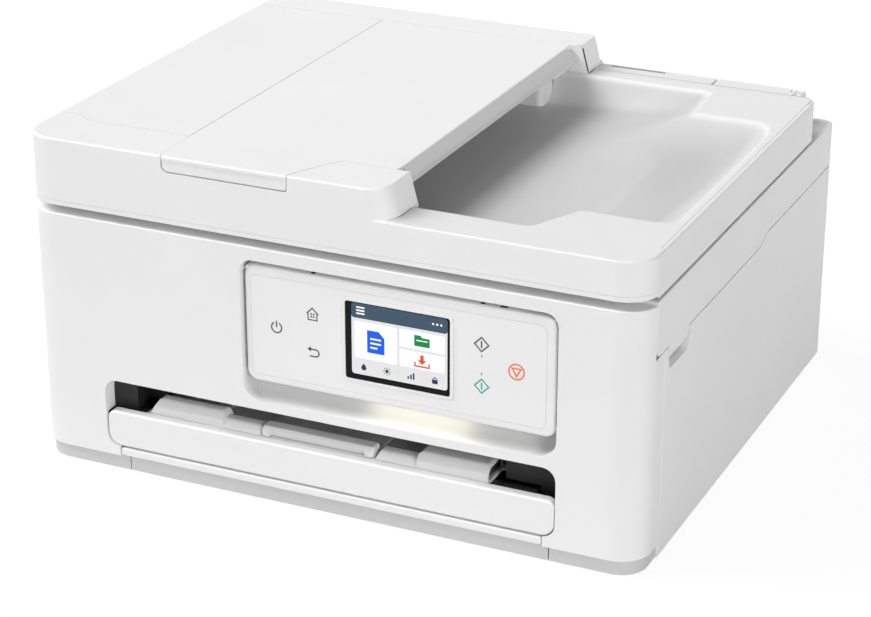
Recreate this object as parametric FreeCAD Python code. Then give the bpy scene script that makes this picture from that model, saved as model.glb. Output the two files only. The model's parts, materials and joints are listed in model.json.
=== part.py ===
import FreeCAD, Part
import math
import os

# White inkjet multifunction printer with a paper cassette, tilting operation panel,
# lifting scanner unit and document feeder.  Millimetres, +Z up, front towards -Y,
# origin on the floor at the centre of the footprint.

V = FreeCAD.Vector

# Overall size
WIDTH = 376.0
DEPTH = 348.0
HEIGHT = 200.0
HALF = WIDTH / 2
FRONT = -DEPTH / 2
BACK = DEPTH / 2

# Shell thickness and the visible gaps between neighbouring shells
WALL = 2.5
SEAM = 0.4
JOIN = 0.15
SHAFT_PLAY = 0.08

# Levels above the floor
FOOT = 0.5
BASE_TOP = 9.8
FRONT_TOP = 155.2
SKIRT_FRONT = 124.9
SKIRT_GAP = 0.65
SKIRT_REAR = 129.8
SCAN_TOP = 156.9
LID_BOTTOM = 158.6
LID_LIP = 160.4
LID_RIM = 163.1
LID_TOP = 183.0
FEEDER_UNDER = HEIGHT - WALL

# Depth positions, and the lid's right side
CASE_BACK = 161.5
LOW_SEAM = -145.0
HIGH_SEAM = -157.9
LID_BACK = 121.5
BAR_FRONT = 110.0
BAR_BACK = 137.0
RAIL_BACK = -148.4
BLOCK_BACK = -139.9
LID_RIGHT = 187.2

# Corner radii in plan, then those of the upper edges, the case's foot and its lower rear edge
CORNER = 18.0
CASE_REAR_CORNER = 7.5
LID_REAR_CORNER = 9.0
TOP_EDGE = 1.2
FOOT_EDGE = 2.0
REAR_FOOT = 13.0

# Output slot and cassette front
SLOT = (-141.4, 139.0, 15.5, 57.4)
FASCIA = (-140.6, 138.3, 16.1, 37.9)
STRIP = (-132.5, 131.0, 10.2, 15.0)
GREY_STRIP = (-127.4, 134.5)
CASSETTE_GAP = 0.7
CASSETTE_HALF = 124.0

# Operation panel: recess in the front, then the panel itself, its film and its display
RECESS = (-50.2, 139.0, 62.8, 147.4)
RECESS_BACK = -160.5
PANEL = (-48.1, 137.5, 74.7, 144.2)
PANEL_FRONT = -172.3
PANEL_BACK = -163.0
FILM = (-44.2, 132.0, 79.2, 138.9)
LCD = (13.8, 76.3, 87.6, 133.4)
LIGHT_X = (25.0, 85.0)
PANEL_AXIS = (-167.5, 140.0)

# Hinge axes, as (y, z) or (x, z)
SCANNER_AXIS = (166.4, 128.5)
LID_AXIS = (148.0, 169.0)
REAR_AXIS = (170.0, 19.5)
COVER_AXIS = (-184.6, 175.4)
TRAY_AXIS = (33.5, 192.5)
ROLLER_AXIS = (-140.0, 187.0)

# Feeder plan positions
COVER_RIGHT = -98.9
TRAY_RIGHT = 30.0
TRAY_EDGE = 37.0
BLOCK_TOP_RIGHT = 37.8
BLOCK_FOOT_RIGHT = 42.4

# Paper drive, as (y, z) of each axis
FEED_AXIS = (22.0, 49.5)
EJECT_AXIS = (-68.0, 49.5)
IDLER_AXIS = (-23.0, 49.5)
PINCH_AXIS = (22.0, 59.4)
PICKUP_PIVOT = (80.0, 43.0)
PICKUP_AXIS = (115.0, 33.0)
FEED_TEETH = 40
IDLER_TEETH = 50
GEAR_MODULE = 1.0

# Carriage drive
BELT_AXIS_X = 168.0
BELT_Z = 98.0
PULLEY_R = 6.4
CARRIAGE = (114.0, 176.0)


# Basic shapes

def block(x, y, z):
    return Part.makeBox(x[1] - x[0], y[1] - y[0], z[1] - z[0], V(x[0], y[0], z[0]))


def place(axis, level, u, v):
    if axis == "x":
        return V(level, u, v)
    if axis == "y":
        return V(u, level, v)
    return V(u, v, level)


def rod(axis, radius, low, high, u, v):
    direction = {"x": V(1, 0, 0), "y": V(0, 1, 0), "z": V(0, 0, 1)}[axis]
    return Part.makeCylinder(radius, high - low, place(axis, low, u, v), direction)


def rect(u0, u1, v0, v1, radius=0.0, radii=None):
    r = radii or [radius] * 4
    return [(u0, v0, r[0]), (u1, v0, r[1]), (u1, v1, r[2]), (u0, v1, r[3])]


def inset(box, amount):
    return (box[0] + amount, box[1] - amount, box[2] + amount, box[3] - amount)


def prism(axis, low, high, corners):
    """Extrude an outline of (u, v) or (u, v, corner radius) points along an axis."""
    count = len(corners)
    stretches = []
    for i in range(count):
        here = V(corners[i][0], corners[i][1], 0)
        radius = corners[i][2] if len(corners[i]) > 2 else 0.0
        if radius <= 0:
            stretches.append((here, None, here))
            continue
        before = V(corners[i - 1][0], corners[i - 1][1], 0)
        after = V(corners[(i + 1) % count][0], corners[(i + 1) % count][1], 0)
        a = (before - here).normalize()
        b = (after - here).normalize()
        half = a.getAngle(b) / 2
        reach = radius / math.tan(half)
        middle = (a + b).normalize() * (radius / math.sin(half) - radius)
        stretches.append((here + a * reach, here + middle, here + b * reach))
    edges = []
    for i in range(count):
        start, middle, end = [p and place(axis, low, p.x, p.y) for p in stretches[i]]
        follow = stretches[(i + 1) % count][0]
        follow = place(axis, low, follow.x, follow.y)
        if middle:
            edges.append(Part.Arc(start, middle, end).toShape())
        if (follow - end).Length > 1e-6:
            edges.append(Part.LineSegment(end, follow).toShape())
    face = Part.Face(Part.Wire(edges))
    return face.extrude(place(axis, high - low, 0, 0))


def fuse(first, *others):
    return first.multiFuse(list(others)).removeSplitter()


def cut(first, *others):
    return first.cut(list(others))


def group(*shapes):
    return Part.makeCompound(list(shapes))


def both_sides(shape):
    return [shape, shape.mirror(V(0, 0, 0), V(1, 0, 0))]


def soften(shape, radius, wanted):
    """Round the edges whose bounding box passes the test."""
    return shape.makeFillet(radius, [e for e in shape.Edges if wanted(e.BoundBox)])


def flat_at(level):
    return lambda b: abs(b.ZMin - level) < 1e-6 and abs(b.ZMax - level) < 1e-6


def front_at(level):
    return lambda b: abs(b.YMin - level) < 1e-6 and abs(b.YMax - level) < 1e-6


def gear(teeth, x, centre, bore, tooth_at):
    """Straight-cut gear along X with one tooth centred on the given angle."""
    pitch = 2 * math.pi / teeth
    root = GEAR_MODULE * (teeth / 2 - 1.2)
    tip = GEAR_MODULE * (teeth / 2 + 0.9)
    points = []
    for i in range(teeth):
        middle = tooth_at + i * pitch
        for radius, side in ((root, -0.36), (tip, -0.11), (tip, 0.11), (root, 0.36)):
            turn = middle + side * pitch
            points.append((centre[0] + radius * math.cos(turn), centre[1] + radius * math.sin(turn)))
    return cut(prism("x", x[0], x[1], points), rod("x", bore, x[0] - 1, x[1] + 1, *centre))


# Main casing

CASE_RADII = [CORNER, CORNER, CASE_REAR_CORNER, CASE_REAR_CORNER]


def case_outline(amount):
    radii = [r - amount for r in CASE_RADII]
    return rect(-HALF + amount, HALF - amount, FRONT + amount, CASE_BACK - amount, radii=radii)


def case_shell(low, high):
    blank = prism("z", low, high, case_outline(0))
    blank = soften(blank, FOOT_EDGE, flat_at(low))
    return cut(blank, prism("z", low - 1, high + 1, case_outline(WALL)))


def rear_foot_cut(back, radius):
    """What rounding the lower rear edge takes away from a wall that ends at the given depth."""
    corner = block((-200, 200), (back - radius, back + 1), (FOOT - 1, FOOT + radius))
    return cut(corner, rod("x", radius, -201, 201, back - radius, FOOT + radius))


def seam_profile(gap):
    """Outline above the stepped seam between the side covers and the scanner unit."""
    low, high = SKIRT_FRONT - gap, SKIRT_REAR - gap
    return [(-200, low), (17.0, low), (27.7, high), (200, high), (200, 260), (-200, 260)]


def base_frame():
    side, nose_side, front = 3.8, 1.6, 2.2
    outline = rect(-HALF + side, HALF - side, FRONT + 20, CASE_BACK - side, radii=[0, 0, 5.0, 5.0])
    plate = soften(prism("z", FOOT, BASE_TOP, outline), 0.6, flat_at(FOOT))
    nose = rect(-HALF + nose_side, HALF - nose_side, FRONT + front, LOW_SEAM - SEAM, radii=[15.8, 15.8, 0, 0])
    nose = soften(prism("z", FOOT, BASE_TOP, nose), 0.6, flat_at(FOOT))
    mouth = block((GREY_STRIP[0] - CASSETTE_GAP, GREY_STRIP[1] + CASSETTE_GAP), (-200, -156), (-1, 20))
    bay = block((-CASSETTE_HALF - 2, CASSETTE_HALF + 2), (-200, 152), (-1, 20))
    pockets = [rod("z", 7.05, 0, 2.0, x, y) for x, y in foot_places()]
    heel = rear_foot_cut(CASE_BACK - side, REAR_FOOT - side)
    return cut(fuse(plate, nose), mouth, bay, heel, *pockets)


def foot_places():
    return [(x, y) for x in (-160.0, 160.0) for y in (-152.0, 138.0)]


def rubber_feet():
    return group(*[rod("z", 7.0, 0, 2.0, x, y) for x, y in foot_places()])


def front_cover():
    outline = rect(-HALF, HALF, FRONT, LOW_SEAM, radii=[CORNER, CORNER, 0, 0])
    blank = prism("z", BASE_TOP, FRONT_TOP, outline)
    blank = soften(blank, 0.8, lambda b: flat_at(FRONT_TOP)(b) and b.YMin < LOW_SEAM - 1)
    inside = CORNER - WALL
    inner = rect(-HALF + WALL, HALF - WALL, FRONT + WALL, 0, radii=[inside, inside, 0, 0])
    shell = cut(blank, prism("z", 0, FRONT_TOP - WALL, inner),
                block((-200, 200), (HIGH_SEAM - SEAM, 0), (SKIRT_FRONT - SKIRT_GAP, 200)),
                *both_sides(rod("x", 1.5, HALF - 6, HALF + 1, HIGH_SEAM + 0.9, SKIRT_FRONT + 0.2)))
    liner = rect(SLOT[0] - 2, SLOT[1] + 2, 36, SLOT[3] + 2, radii=[0, 0, 10, 10])
    liner = prism("y", FRONT + 2, RECESS_BACK, liner)
    recess_radii = [12.0, 12.0, 7.5, 7.5]
    recess_box = rect(*inset(RECESS, -2.0), radii=[r + 2 for r in recess_radii])
    recess_box = prism("y", FRONT + 1.5, RECESS_BACK + 1.8, recess_box)
    shell = fuse(shell, liner, recess_box)
    cavity = prism("y", FRONT - 1, RECESS_BACK, rect(*RECESS, radii=recess_radii))
    opening = prism("y", FRONT - 1, -150, rect(*SLOT, radii=[8.5, 8.5, 8.0, 8.0]))
    notch = block((STRIP[0] - CASSETTE_GAP, STRIP[1] + CASSETTE_GAP), (FRONT - 1, -150), (0, 20))
    pins = [rod("x", 1.55, x[0], x[1], *PANEL_AXIS) for x in panel_pin_spans()]
    shell = cut(shell, cavity, opening, notch, *pins)
    return fuse(shell, panel_scoop(cavity))


def panel_scoop(cavity):
    """Concave ledge under the panel, from the recess floor out to the front face."""
    low = RECESS[2] - 0.6
    start = V(RECESS[0] - 1, FRONT + 0.3, RECESS[2])
    end = V(RECESS[0] - 1, RECESS_BACK - 0.5, PANEL[2] + 0.5)
    through = V(RECESS[0] - 1, FRONT + 10.0, RECESS[2] + 3.2)
    corners = [end, V(end.x, RECESS_BACK + 0.5, end.z), V(end.x, RECESS_BACK + 0.5, low),
               V(end.x, start.y, low)]
    edges = [Part.Arc(start, through, end).toShape()]
    for a, b in zip(corners, corners[1:] + [start]):
        edges.append(Part.LineSegment(a, b).toShape())
    wedge = Part.Face(Part.Wire(edges)).extrude(V(RECESS[1] - RECESS[0] + 2, 0, 0))
    return wedge.common(cavity)


def panel_pin_spans():
    return [(RECESS[0] - 3.3, PANEL[0] + 6.0), (PANEL[1] - 6.0, RECESS[1] + 3.3)]


def grip_outline(grow):
    """Finger grip below the scanner skirt, in (y, z)."""
    foot = 110.9 - grow
    return [(-140.4 - grow, 126), (-137.4 - grow, foot, 2.5 + grow), (-105.4 + grow, foot, 6 + grow),
            (-105.4 + grow, 126)]


def grip_room():
    """Space behind both finger grips that the inner frames leave free."""
    return both_sides(block((HALF - 10, HALF), (-142.0, -101.0), (108.0, 126.0)))


def right_cover():
    front = LOW_SEAM + JOIN
    shell = case_shell(FOOT, 140).common(block((165, 200), (front, 200), (0, 140)))
    shell = soften(shell, 1.2, lambda b: front_at(front)(b) and b.ZLength > 50 and b.XMin > HALF - 0.1)
    shell = cut(shell, prism("x", 150, 200, seam_profile(SKIRT_GAP)), prism("x", 170, 200, grip_outline(0)),
                rear_foot_cut(CASE_BACK, REAR_FOOT))
    cup = prism("x", HALF - 9, HALF - 1, grip_outline(1.6))
    cup = cut(cup, prism("x", HALF - 7.4, HALF, grip_outline(0)),
              block((150, 200), (-160, -90), (SKIRT_FRONT - SKIRT_GAP, 200)))
    return fuse(shell, cup)


def scanner_knuckle(x, web_low, web_high):
    barrel = rod("x", 4.5, x[0], x[1], *SCANNER_AXIS)
    web = block(x, (CASE_BACK - 1, SCANNER_AXIS[0]), (web_low, web_high))
    return fuse(barrel, web)


def scanner_pin(radius):
    return rod("x", radius, 127.0, 153.0, *SCANNER_AXIS)


def rear_cover():
    shell = case_shell(FOOT, 140).common(block((-164.6, 164.6), (100, 200), (0, SKIRT_REAR - SEAM)))
    ears = []
    for x in ((128.0, 134.0), (146.0, 152.0)):
        ears += both_sides(scanner_knuckle(x, 122.0, SCANNER_AXIS[1]))
    ears += both_sides(block((112.5, 118.0), (CASE_BACK - WALL, BACK - 0.6), (14.0, 25.0)))
    shell = fuse(shell, *ears)
    windows = [block((-114.0, 114.0), (150, CASE_BACK + 0.1), (12.0, 100.0)),
               block((-163.0, -135.0), (150, 170), (65.0, 89.0)),
               block((129.0, 143.0), (150, 170), (61.0, 76.0))]
    holes = [rod("y", 1.6, 150, 170, x, z) for x, z in screw_places()]
    bores = both_sides(scanner_pin(2.0 + SHAFT_PLAY))
    bores += both_sides(rod("x", 2.0 + SHAFT_PLAY, 103, 119, *REAR_AXIS))
    return cut(shell, rear_foot_cut(CASE_BACK, REAR_FOOT), *(windows + holes + bores))


def screw_places():
    return [(x, z) for x in (-155.0, 155.0) for z in (20.0, 112.0)]


def case_screws():
    screws = []
    for x, z in screw_places():
        head = soften(rod("y", 2.9, CASE_BACK, CASE_BACK + 1.9, x, z), 0.8, front_at(CASE_BACK + 1.9))
        cross = [block((x - a, x + a), (CASE_BACK + 0.9, CASE_BACK + 3), (z - b, z + b))
                 for a, b in ((0.35, 1.5), (1.5, 0.35))]
        shank = rod("y", 1.5, CASE_BACK - 9, CASE_BACK, x, z)
        screws.append(cut(fuse(head, shank), *cross))
    return group(*screws)


def body_hinge_pins():
    pins = both_sides(scanner_pin(2.0)) + both_sides(rod("x", 2.0, 104.0, 117.6, *REAR_AXIS))
    pins += [rod("x", 1.5, x[0] + 0.4, x[1] - 0.4, *PANEL_AXIS) for x in panel_pin_spans()]
    return group(*pins)


def rear_access_cover():
    profile = [(156.5, 15.0), (BACK - 6.0, 15.0), (BACK, 24.0, 6.0), (BACK, 86.0, 14.0), (163.0, 98.0),
               (156.5, 98.0)]
    hollow = [(150.0, 17.5), (BACK - 7.0, 17.5), (BACK - WALL, 25.5, 4.0), (BACK - WALL, 85.0, 12.0),
              (162.0, 95.5), (150.0, 95.5)]
    rib = [(168.0, 34.0), (BACK - 2, 32.0), (BACK - 2, 80.0), (168.0, 78.0)]
    shell = prism("x", -112, 112, profile)
    shell = soften(shell, 2.0, lambda b: b.XLength < 1e-6 and b.YMax > BACK - 1e-3)
    shell = cut(shell, prism("x", -109.5, 109.5, hollow))
    bosses = both_sides(rod("x", 4.5, 103, 112, *REAR_AXIS))
    bosses = [b.common(prism("x", -112, 112, profile)) for b in bosses]
    ribs = [prism("x", x - 0.8, x + 0.8, rib) for x in (-80.0, -48.0, -16.0, 16.0, 48.0, 80.0)]
    grip = [(BACK - 5.0, 76.0), (BACK + 1, 79.0), (BACK + 1, 83.5), (BACK - 3.5, 82.0)]
    backing = block((-24, 24), (BACK - 7.4, BACK - 2), (73.5, 85.0))
    bores = both_sides(rod("x", 2.0 + SHAFT_PLAY, 103, 113, *REAR_AXIS))
    return cut(fuse(shell, backing, *(bosses + ribs)), prism("x", -22, 22, grip), *bores)


# Mechanism frame and what is fixed to it

def main_frame():
    wall = block((178.5, 181.0), (-150, 140), (10.0, 119.3))
    foot = block((146.0, 180.0), (-150, 140), (10.0, 12.5))
    shelf = block((142.0, 180.0), (60, 140), (56.0, 59.0))
    sides = []
    for piece in (wall, foot, shelf):
        sides += both_sides(piece)
    front = block((-180, 180), (-150, -147), (10.0, 119.3))
    exit_gap = prism("y", -151, -146, rect(-113.0, 113.0, -1.0, 58.0, radii=[0, 0, 4, 4]))
    cassette_gap = block((-146.0, 146.0), (-151, -146), (0, 39.0))
    slot_ends = [prism("y", -164.2, -149.0, rect(*inset(SLOT, 0.25), radii=[8.3, 8.3, 7.8, 7.8])),
                 block((104.6, 146.0), (-160.2, -149.0), (39.0, 58.4)),
                 block((125.4, 146.0), (-160.2, -149.0), (30.0, 39.5))]
    slot_ends[0] = slot_ends[0].common(block((-146.0, -125.4), (-170, -140), (30.0, 60)))
    stub = rod("x", 3.0, -179, -170.6, *IDLER_AXIS)
    frame = cut(fuse(front, *sides), exit_gap, cassette_gap, *grip_room())
    frame = fuse(frame, *slot_ends)
    bores = []
    for radius, axis in ((3.5, FEED_AXIS), (3.0, EJECT_AXIS)):
        bores += both_sides(rod("x", radius + SHAFT_PLAY, 170, 190, *axis))
    return fuse(cut(frame, *bores), stub)


def access_frame():
    plate = prism("z", 119.6, 121.6, rect(-184, 184, -156.8, 150, 6))
    rim = cut(prism("z", 121.6, 124.0, rect(-162, 182, -103, 68, 6)),
              prism("z", 121, 125, rect(-160, 180, -101, 66, 5)))
    opening = prism("z", 119, 126, rect(-156, 178, -97, 62, 4))
    return fuse(cut(plate, opening, *grip_room()), rim)


def carriage_rail():
    plate = block((-178.0, 178.0), (46.0, 47.5), (76.0, 116.0))
    top = block((-178.0, 178.0), (38.0, 47.5), (114.5, 116.0))
    foot = block((-178.0, 178.0), (46.0, 56.0), (76.0, 77.5))
    pin = rod("y", 1.5, 38.6, 47, -BELT_AXIS_X, BELT_Z)
    rail = cut(fuse(plate, top, foot), rod("y", 4.0, 40, 50, BELT_AXIS_X, BELT_Z))
    return fuse(rail, pin)


def carriage_belt():
    def loop(gap):
        reach, radius = BELT_AXIS_X + PULLEY_R + gap, PULLEY_R + gap
        return rect(-reach, reach, BELT_Z - radius, BELT_Z + radius, radius)

    return cut(prism("y", 39, 44, loop(1.1)), prism("y", 38, 45, loop(0.1)))


def pulley(x):
    body = rod("y", PULLEY_R, 38.8, 44.3, x, BELT_Z)
    flange = rod("y", 8.2, 44.3, 45.2, x, BELT_Z)
    grooves = []
    for i in range(16):
        groove = block((x - 0.3, x + 0.3), (38, 44.2), (BELT_Z + PULLEY_R - 0.5, BELT_Z + 9))
        groove.rotate(V(x, 0, BELT_Z), V(0, 1, 0), 360.0 * i / 16)
        grooves.append(groove)
    return cut(fuse(body, flange), rod("y", 1.5 + SHAFT_PLAY, 30, 60, x, BELT_Z), *grooves)


def carriage_motor():
    can = soften(rod("y", 13.0, 48.0, 78.0, BELT_AXIS_X - 4, BELT_Z), 1.5, front_at(78.0))
    flat = block((BELT_AXIS_X + 6.2, 200), (40, 90), (50, 150))
    shaft = rod("y", 1.5, 38.6, 49, BELT_AXIS_X, BELT_Z)
    return fuse(cut(can, flat), shaft)


def platen():
    plate = block((-113.0, 111.0), (-58.0, 13.0), (46.0, 53.0))
    ribs = [block((x - 0.8, x + 0.8), (-56.0, 11.0), (52.5, 56.0)) for x in range(-104, 105, 16)]
    return fuse(plate, *ribs)


def purge_unit():
    tub = cut(block((114.0, 176.0), (-52.0, 8.0), (46.0, 55.0)),
              block((117.0, 173.0), (-49.0, -36.0), (50, 60)))
    caps = []
    for x in (130.5, 159.5):
        cap = prism("z", 54.5, 57.6, rect(x - 10, x + 10, -30, 2, 3))
        caps.append(cut(cap, prism("z", 56, 60, rect(x - 8, x + 8, -28, 0, 2))))
    absorber = block((147.0, 177.0), (-60.0, 55.0), (13.0, 36.0))
    return group(fuse(tub, *caps), absorber)


def transport_guide():
    deck = block((-112.0, 112.0), (62.0, 148.0), (46.0, 54.0))
    ramp = prism("x", -112, 112, [(140, 46), (150, 46), (154, 50), (150, 54), (140, 54)])
    ears = both_sides(block((36.0, 42.0), (74.0, 86.0), (37.6, 47.0)))
    pocket = block((-33.0, 33.0), (70.0, 160.0), (40, 60))
    bore = rod("x", 3.0 + SHAFT_PLAY, -50, 50, *PICKUP_PIVOT)
    return cut(fuse(deck, ramp, *ears), pocket, bore)


PINCH_X = (-88.0, -44.0, 0.0, 44.0, 88.0)


def pinch_holder():
    beam = block((-112.0, 112.0), (32.0, 44.0), (58.0, 65.0))
    forks = []
    for x in PINCH_X:
        for side in (-11.5, 11.5):
            forks.append(block((x + side - 1.5, x + side + 1.5), (19.0, 34.0), (57.0, 65.0)))
    bore = rod("x", 1.5 + SHAFT_PLAY, -120, 120, *PINCH_AXIS)
    return cut(fuse(beam, *forks), bore)


def pinch_rollers():
    shaft = rod("x", 1.5, -103, 103, *PINCH_AXIS)
    return fuse(shaft, *[rod("x", 3.5, x - 9, x + 9, *PINCH_AXIS) for x in PINCH_X])


def feed_roller():
    shaft = rod("x", 3.5, -182, 182, *FEED_AXIS)
    sleeve = rod("x", 6.0, -110, 108, *FEED_AXIS)
    wheel = gear(FEED_TEETH, (-176.0, -171.0), FEED_AXIS, 3.4, math.pi)
    return fuse(shaft, sleeve, wheel)


def eject_roller():
    shaft = rod("x", 3.0, -182, 182, *EJECT_AXIS)
    rings = [rod("x", 5.5, x - 6, x + 6, *EJECT_AXIS) for x in range(-98, 99, 28)]
    wheel = gear(FEED_TEETH, (-176.0, -171.0), EJECT_AXIS, 2.9, 0.0)
    return fuse(shaft, wheel, *rings)


def idler_gear():
    gap_turn = math.pi / IDLER_TEETH
    return gear(IDLER_TEETH, (-176.0, -171.0), IDLER_AXIS, 3.0 + SHAFT_PLAY, gap_turn)


def feed_motor():
    can = soften(rod("x", 14.0, -168.0, -144.0, 46.0, 27.5), 1.5, lambda b: abs(b.XMin + 144) < 1e-6)
    shaft = rod("x", 1.5, -177.0, -168.0, 46.0, 27.5)
    return fuse(can, shaft)


def pickup_arm():
    outline = [(75.0, 39.0, 4), (117.0, 27.5, 5), (120.0, 37.0, 5), (78.0, 49.0, 4)]
    plates = both_sides(prism("x", 12.0, 15.0, outline))
    shaft = rod("x", 3.0, -44, 44, *PICKUP_PIVOT)
    axle = rod("x", 2.0, -15, 15, *PICKUP_AXIS)
    return fuse(shaft, axle, *plates)


def pickup_roller():
    tyre = rod("x", 10.0, -11.5, 11.5, *PICKUP_AXIS)
    return cut(tyre, rod("x", 2.0 + SHAFT_PLAY, -20, 20, *PICKUP_AXIS))


def carriage():
    low, high = CARRIAGE
    body = block((low, high), (-55.0, 37.6), (58.5, 113.8))
    hook = fuse(block((low, high), (30.0, 37.6), (113.0, 119.0)),
                block((low, high), (30.0, 50.5), (116.5, 119.0)))
    roller_room = block((low - 1, high + 1), (13.0, 40.0), (50.0, 68.0))
    pockets = [block(x, (-45.0, 25.0), (70.0, 130.0)) for x in cartridge_bays(0.0)]
    body = soften(body, 3.0, lambda b: b.XLength > 50 and b.YMax < -54 and b.ZMin > 100)
    return fuse(cut(body, roller_room, *pockets), hook)


def cartridge_bays(gap):
    low, high = CARRIAGE
    middle = (low + high) / 2
    return [(low + 3 + gap, middle - 1 - gap), (middle + 1 + gap, high - 3 - gap)]


def cartridge(index):
    x = cartridge_bays(0.4)[index]
    outline = [(-44.6, 70.4), (24.6, 70.4), (24.6, 104.0, 4), (-36.0, 109.0, 4), (-44.6, 98.0, 3)]
    body = prism("x", x[0], x[1], outline)
    tab = block((x[0] + 5, x[1] - 5), (-44.6, -38.0), (92.0, 97.0))
    return cut(body, block((x[0] + 4, x[1] - 4), (-30, 16), (104.6, 120)), tab)


def power_supply():
    box = block((-176.0, -116.0), (64.0, 138.0), (59.2, 112.0))
    box = soften(box, 2.0, lambda b: b.ZMin > 111)
    slots = [block((-168.0, -124.0), (y, y + 3), (110, 120)) for y in range(76, 130, 8)]
    return cut(box, *slots)


def ac_inlet():
    body = block((-162.5, -135.5), (138.2, CASE_BACK), (65.5, 88.5))
    mouth = prism("y", CASE_BACK - 14, CASE_BACK + 1, rect(-158.5, -139.5, 69.5, 84.5, 4))
    blades = [block((x - 0.8, x + 0.8), (CASE_BACK - 15, CASE_BACK - 6), (75.0, 79.0))
              for x in (-153.5, -144.5)]
    return fuse(cut(body, mouth), *blades)


def logic_board():
    board = block((118.0, 176.0), (62.0, 140.0), (61.0, 62.6))
    chips = [block((124, 146), (72, 94), (62.4, 65.0)), block((152, 170), (70, 84), (62.4, 64.0)),
             block((150, 172), (100, 130), (62.4, 70.0)), block((124, 134), (104, 126), (62.4, 68.0))]
    return fuse(cut(board, block((129, 143), (138, 141), (60, 64))), *chips)


def usb_socket():
    body = block((129.5, 142.5), (138.5, CASE_BACK), (62.7, 75.5))
    outline = [(131.5, 64.5), (140.5, 64.5), (140.5, 71.0), (138.5, 73.5), (133.5, 73.5), (131.5, 71.0)]
    mouth = prism("y", CASE_BACK - 13, CASE_BACK + 1, outline)
    tongue = block((133.5, 138.5), (CASE_BACK - 14, CASE_BACK - 6), (67.5, 70.0))
    return fuse(cut(body, mouth), tongue)


# Paper cassette

def cassette_tub():
    half, inside = CASSETTE_HALF, CASSETTE_HALF - 2
    tub = cut(block((-half, half), (-160, 150), (2, 36)), block((-inside, inside), (-158, 148), (4, 40)))
    tub = cut(tub, block((-60, 60), (140, 160), (14, 40)))
    flanges = [block((STRIP[0] + 0.2, -inside - 1), (-158, 148), (10.2, 12.4)),
               block((inside + 1, STRIP[1] - 0.2), (-158, 148), (10.2, 12.4))]
    strip = block(GREY_STRIP, (FRONT + 2.2, -158), (FOOT, 9.6))
    strip = soften(strip, 0.6, lambda b: b.YMax < FRONT + 4 and b.XLength > 50)
    hold = block((-42.0, 45.0), (FRONT, FRONT + 2.6), (0, 9.0))
    return fuse(tub, cut(strip, hold), *flanges)


def cassette_front():
    fascia = prism("y", FRONT, -166.0, rect(*FASCIA, radii=[8.0, 8.0, 5.0, 5.0]))
    fascia = soften(fascia, 1.4, front_at(FRONT))
    strip = prism("y", FRONT, -166.0, rect(*STRIP, radius=1.2))
    strip = soften(strip, 0.8, front_at(FRONT))
    web = block((-CASSETTE_HALF, CASSETTE_HALF), (-169.0, -160.2), (STRIP[2] + 0.3, 36.0))
    ledge = block((-150, 150), (FRONT + 5.8, -150), (36.0, 50))
    return fuse(cut(fascia, ledge), strip, web)


SUPPORT = (-43.4, 27.4)
LIP_TOP = 46.3
LEDGE_TOP = 42.6


def lip(top, front, back, outline):
    """Rounded edge of the output tray: a cross-section trimmed to an outline seen from the front."""
    section = [(front, 36.6), (front + 0.6, top - 4.4, 2.0), (front + 4.4, top, 3.2), (back - 3, top, 3.0),
               (back, 36.6)]
    low, high = outline[0][0], outline[-1][0]
    return prism("x", low, high, section).common(prism("y", -170, -130, outline))


def output_tray():
    front = FRONT + 6.2
    plate = fuse(block((-121.5, 121.5), (-147.0, -20.0), (36.2, 38.2)),
                 block((-114.0, 97.0), (front + 0.4, -146.0), (36.2, 38.2)))
    left, right = SUPPORT[0] - 0.6, SUPPORT[1] + 0.6
    lips = [lip(LIP_TOP, front + 0.6, -153.0, [(-119.0, 36.6), (-116.0, 37.4, 2.5), (-111.0, LIP_TOP, 3.0),
                                               (-69.0, LIP_TOP, 2.5), (-67.0, 36.6)]),
            lip(LEDGE_TOP, front, -154.0, [(-81.0, 36.6), (-78.0, 37.2, 2.0), (-74.5, LEDGE_TOP, 2.0),
                                           (left, LEDGE_TOP, 1.5), (left, 36.6)]),
            lip(LIP_TOP, front + 0.6, -143.0, [(53.5, 36.6), (53.5, LIP_TOP, 3.0), (96.5, LIP_TOP, 2.0),
                                               (96.5, 36.6)]),
            lip(LEDGE_TOP, front, -154.0, [(right, 36.6), (right + 2.5, LEDGE_TOP, 1.5),
                                           (57.0, LEDGE_TOP, 2.5), (57.0, 36.6)])]
    inside = [(front + 2.6, 38.2), (front + 3.0, LIP_TOP - 4.6, 1.0), (front + 5.6, LIP_TOP - 1.8, 1.5),
              (-147.0, LIP_TOP - 1.8), (-145.4, 38.2)]
    ribs = [block((x - 0.8, x + 0.8), (-141.0, -26.0), (38.0, 40.0))
            for x in (-100.0, -76.0, 52.0, 76.0, 100.0)]
    return cut(fuse(plate, *(lips + ribs)), prism("x", 60.0, 97.0, inside))


def output_support():
    front = FRONT + 6.2
    plate = block(SUPPORT, (front + 5.6, -50.0), (38.6, 40.4))
    section = [(front, 38.6), (front, 41.8, 0.8), (front + 2.4, 44.0, 1.4), (front + 9.6, 44.0, 1.4),
               (front + 11.6, 38.6)]
    bar = prism("x", SUPPORT[0], SUPPORT[1], section)
    bar = soften(bar, 2.0, lambda b: b.XLength < 1e-6 and b.ZMax > 43.5 and b.YMax < -155)
    hold = [(SUPPORT[0] + 5.5, 38.0), (SUPPORT[0] + 5.5, 42.0, 1.2), (SUPPORT[1] - 5.5, 42.0, 1.2),
            (SUPPORT[1] - 5.5, 38.0)]
    return fuse(cut(bar, prism("y", front - 2, front + 2.2, hold)), plate)


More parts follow.
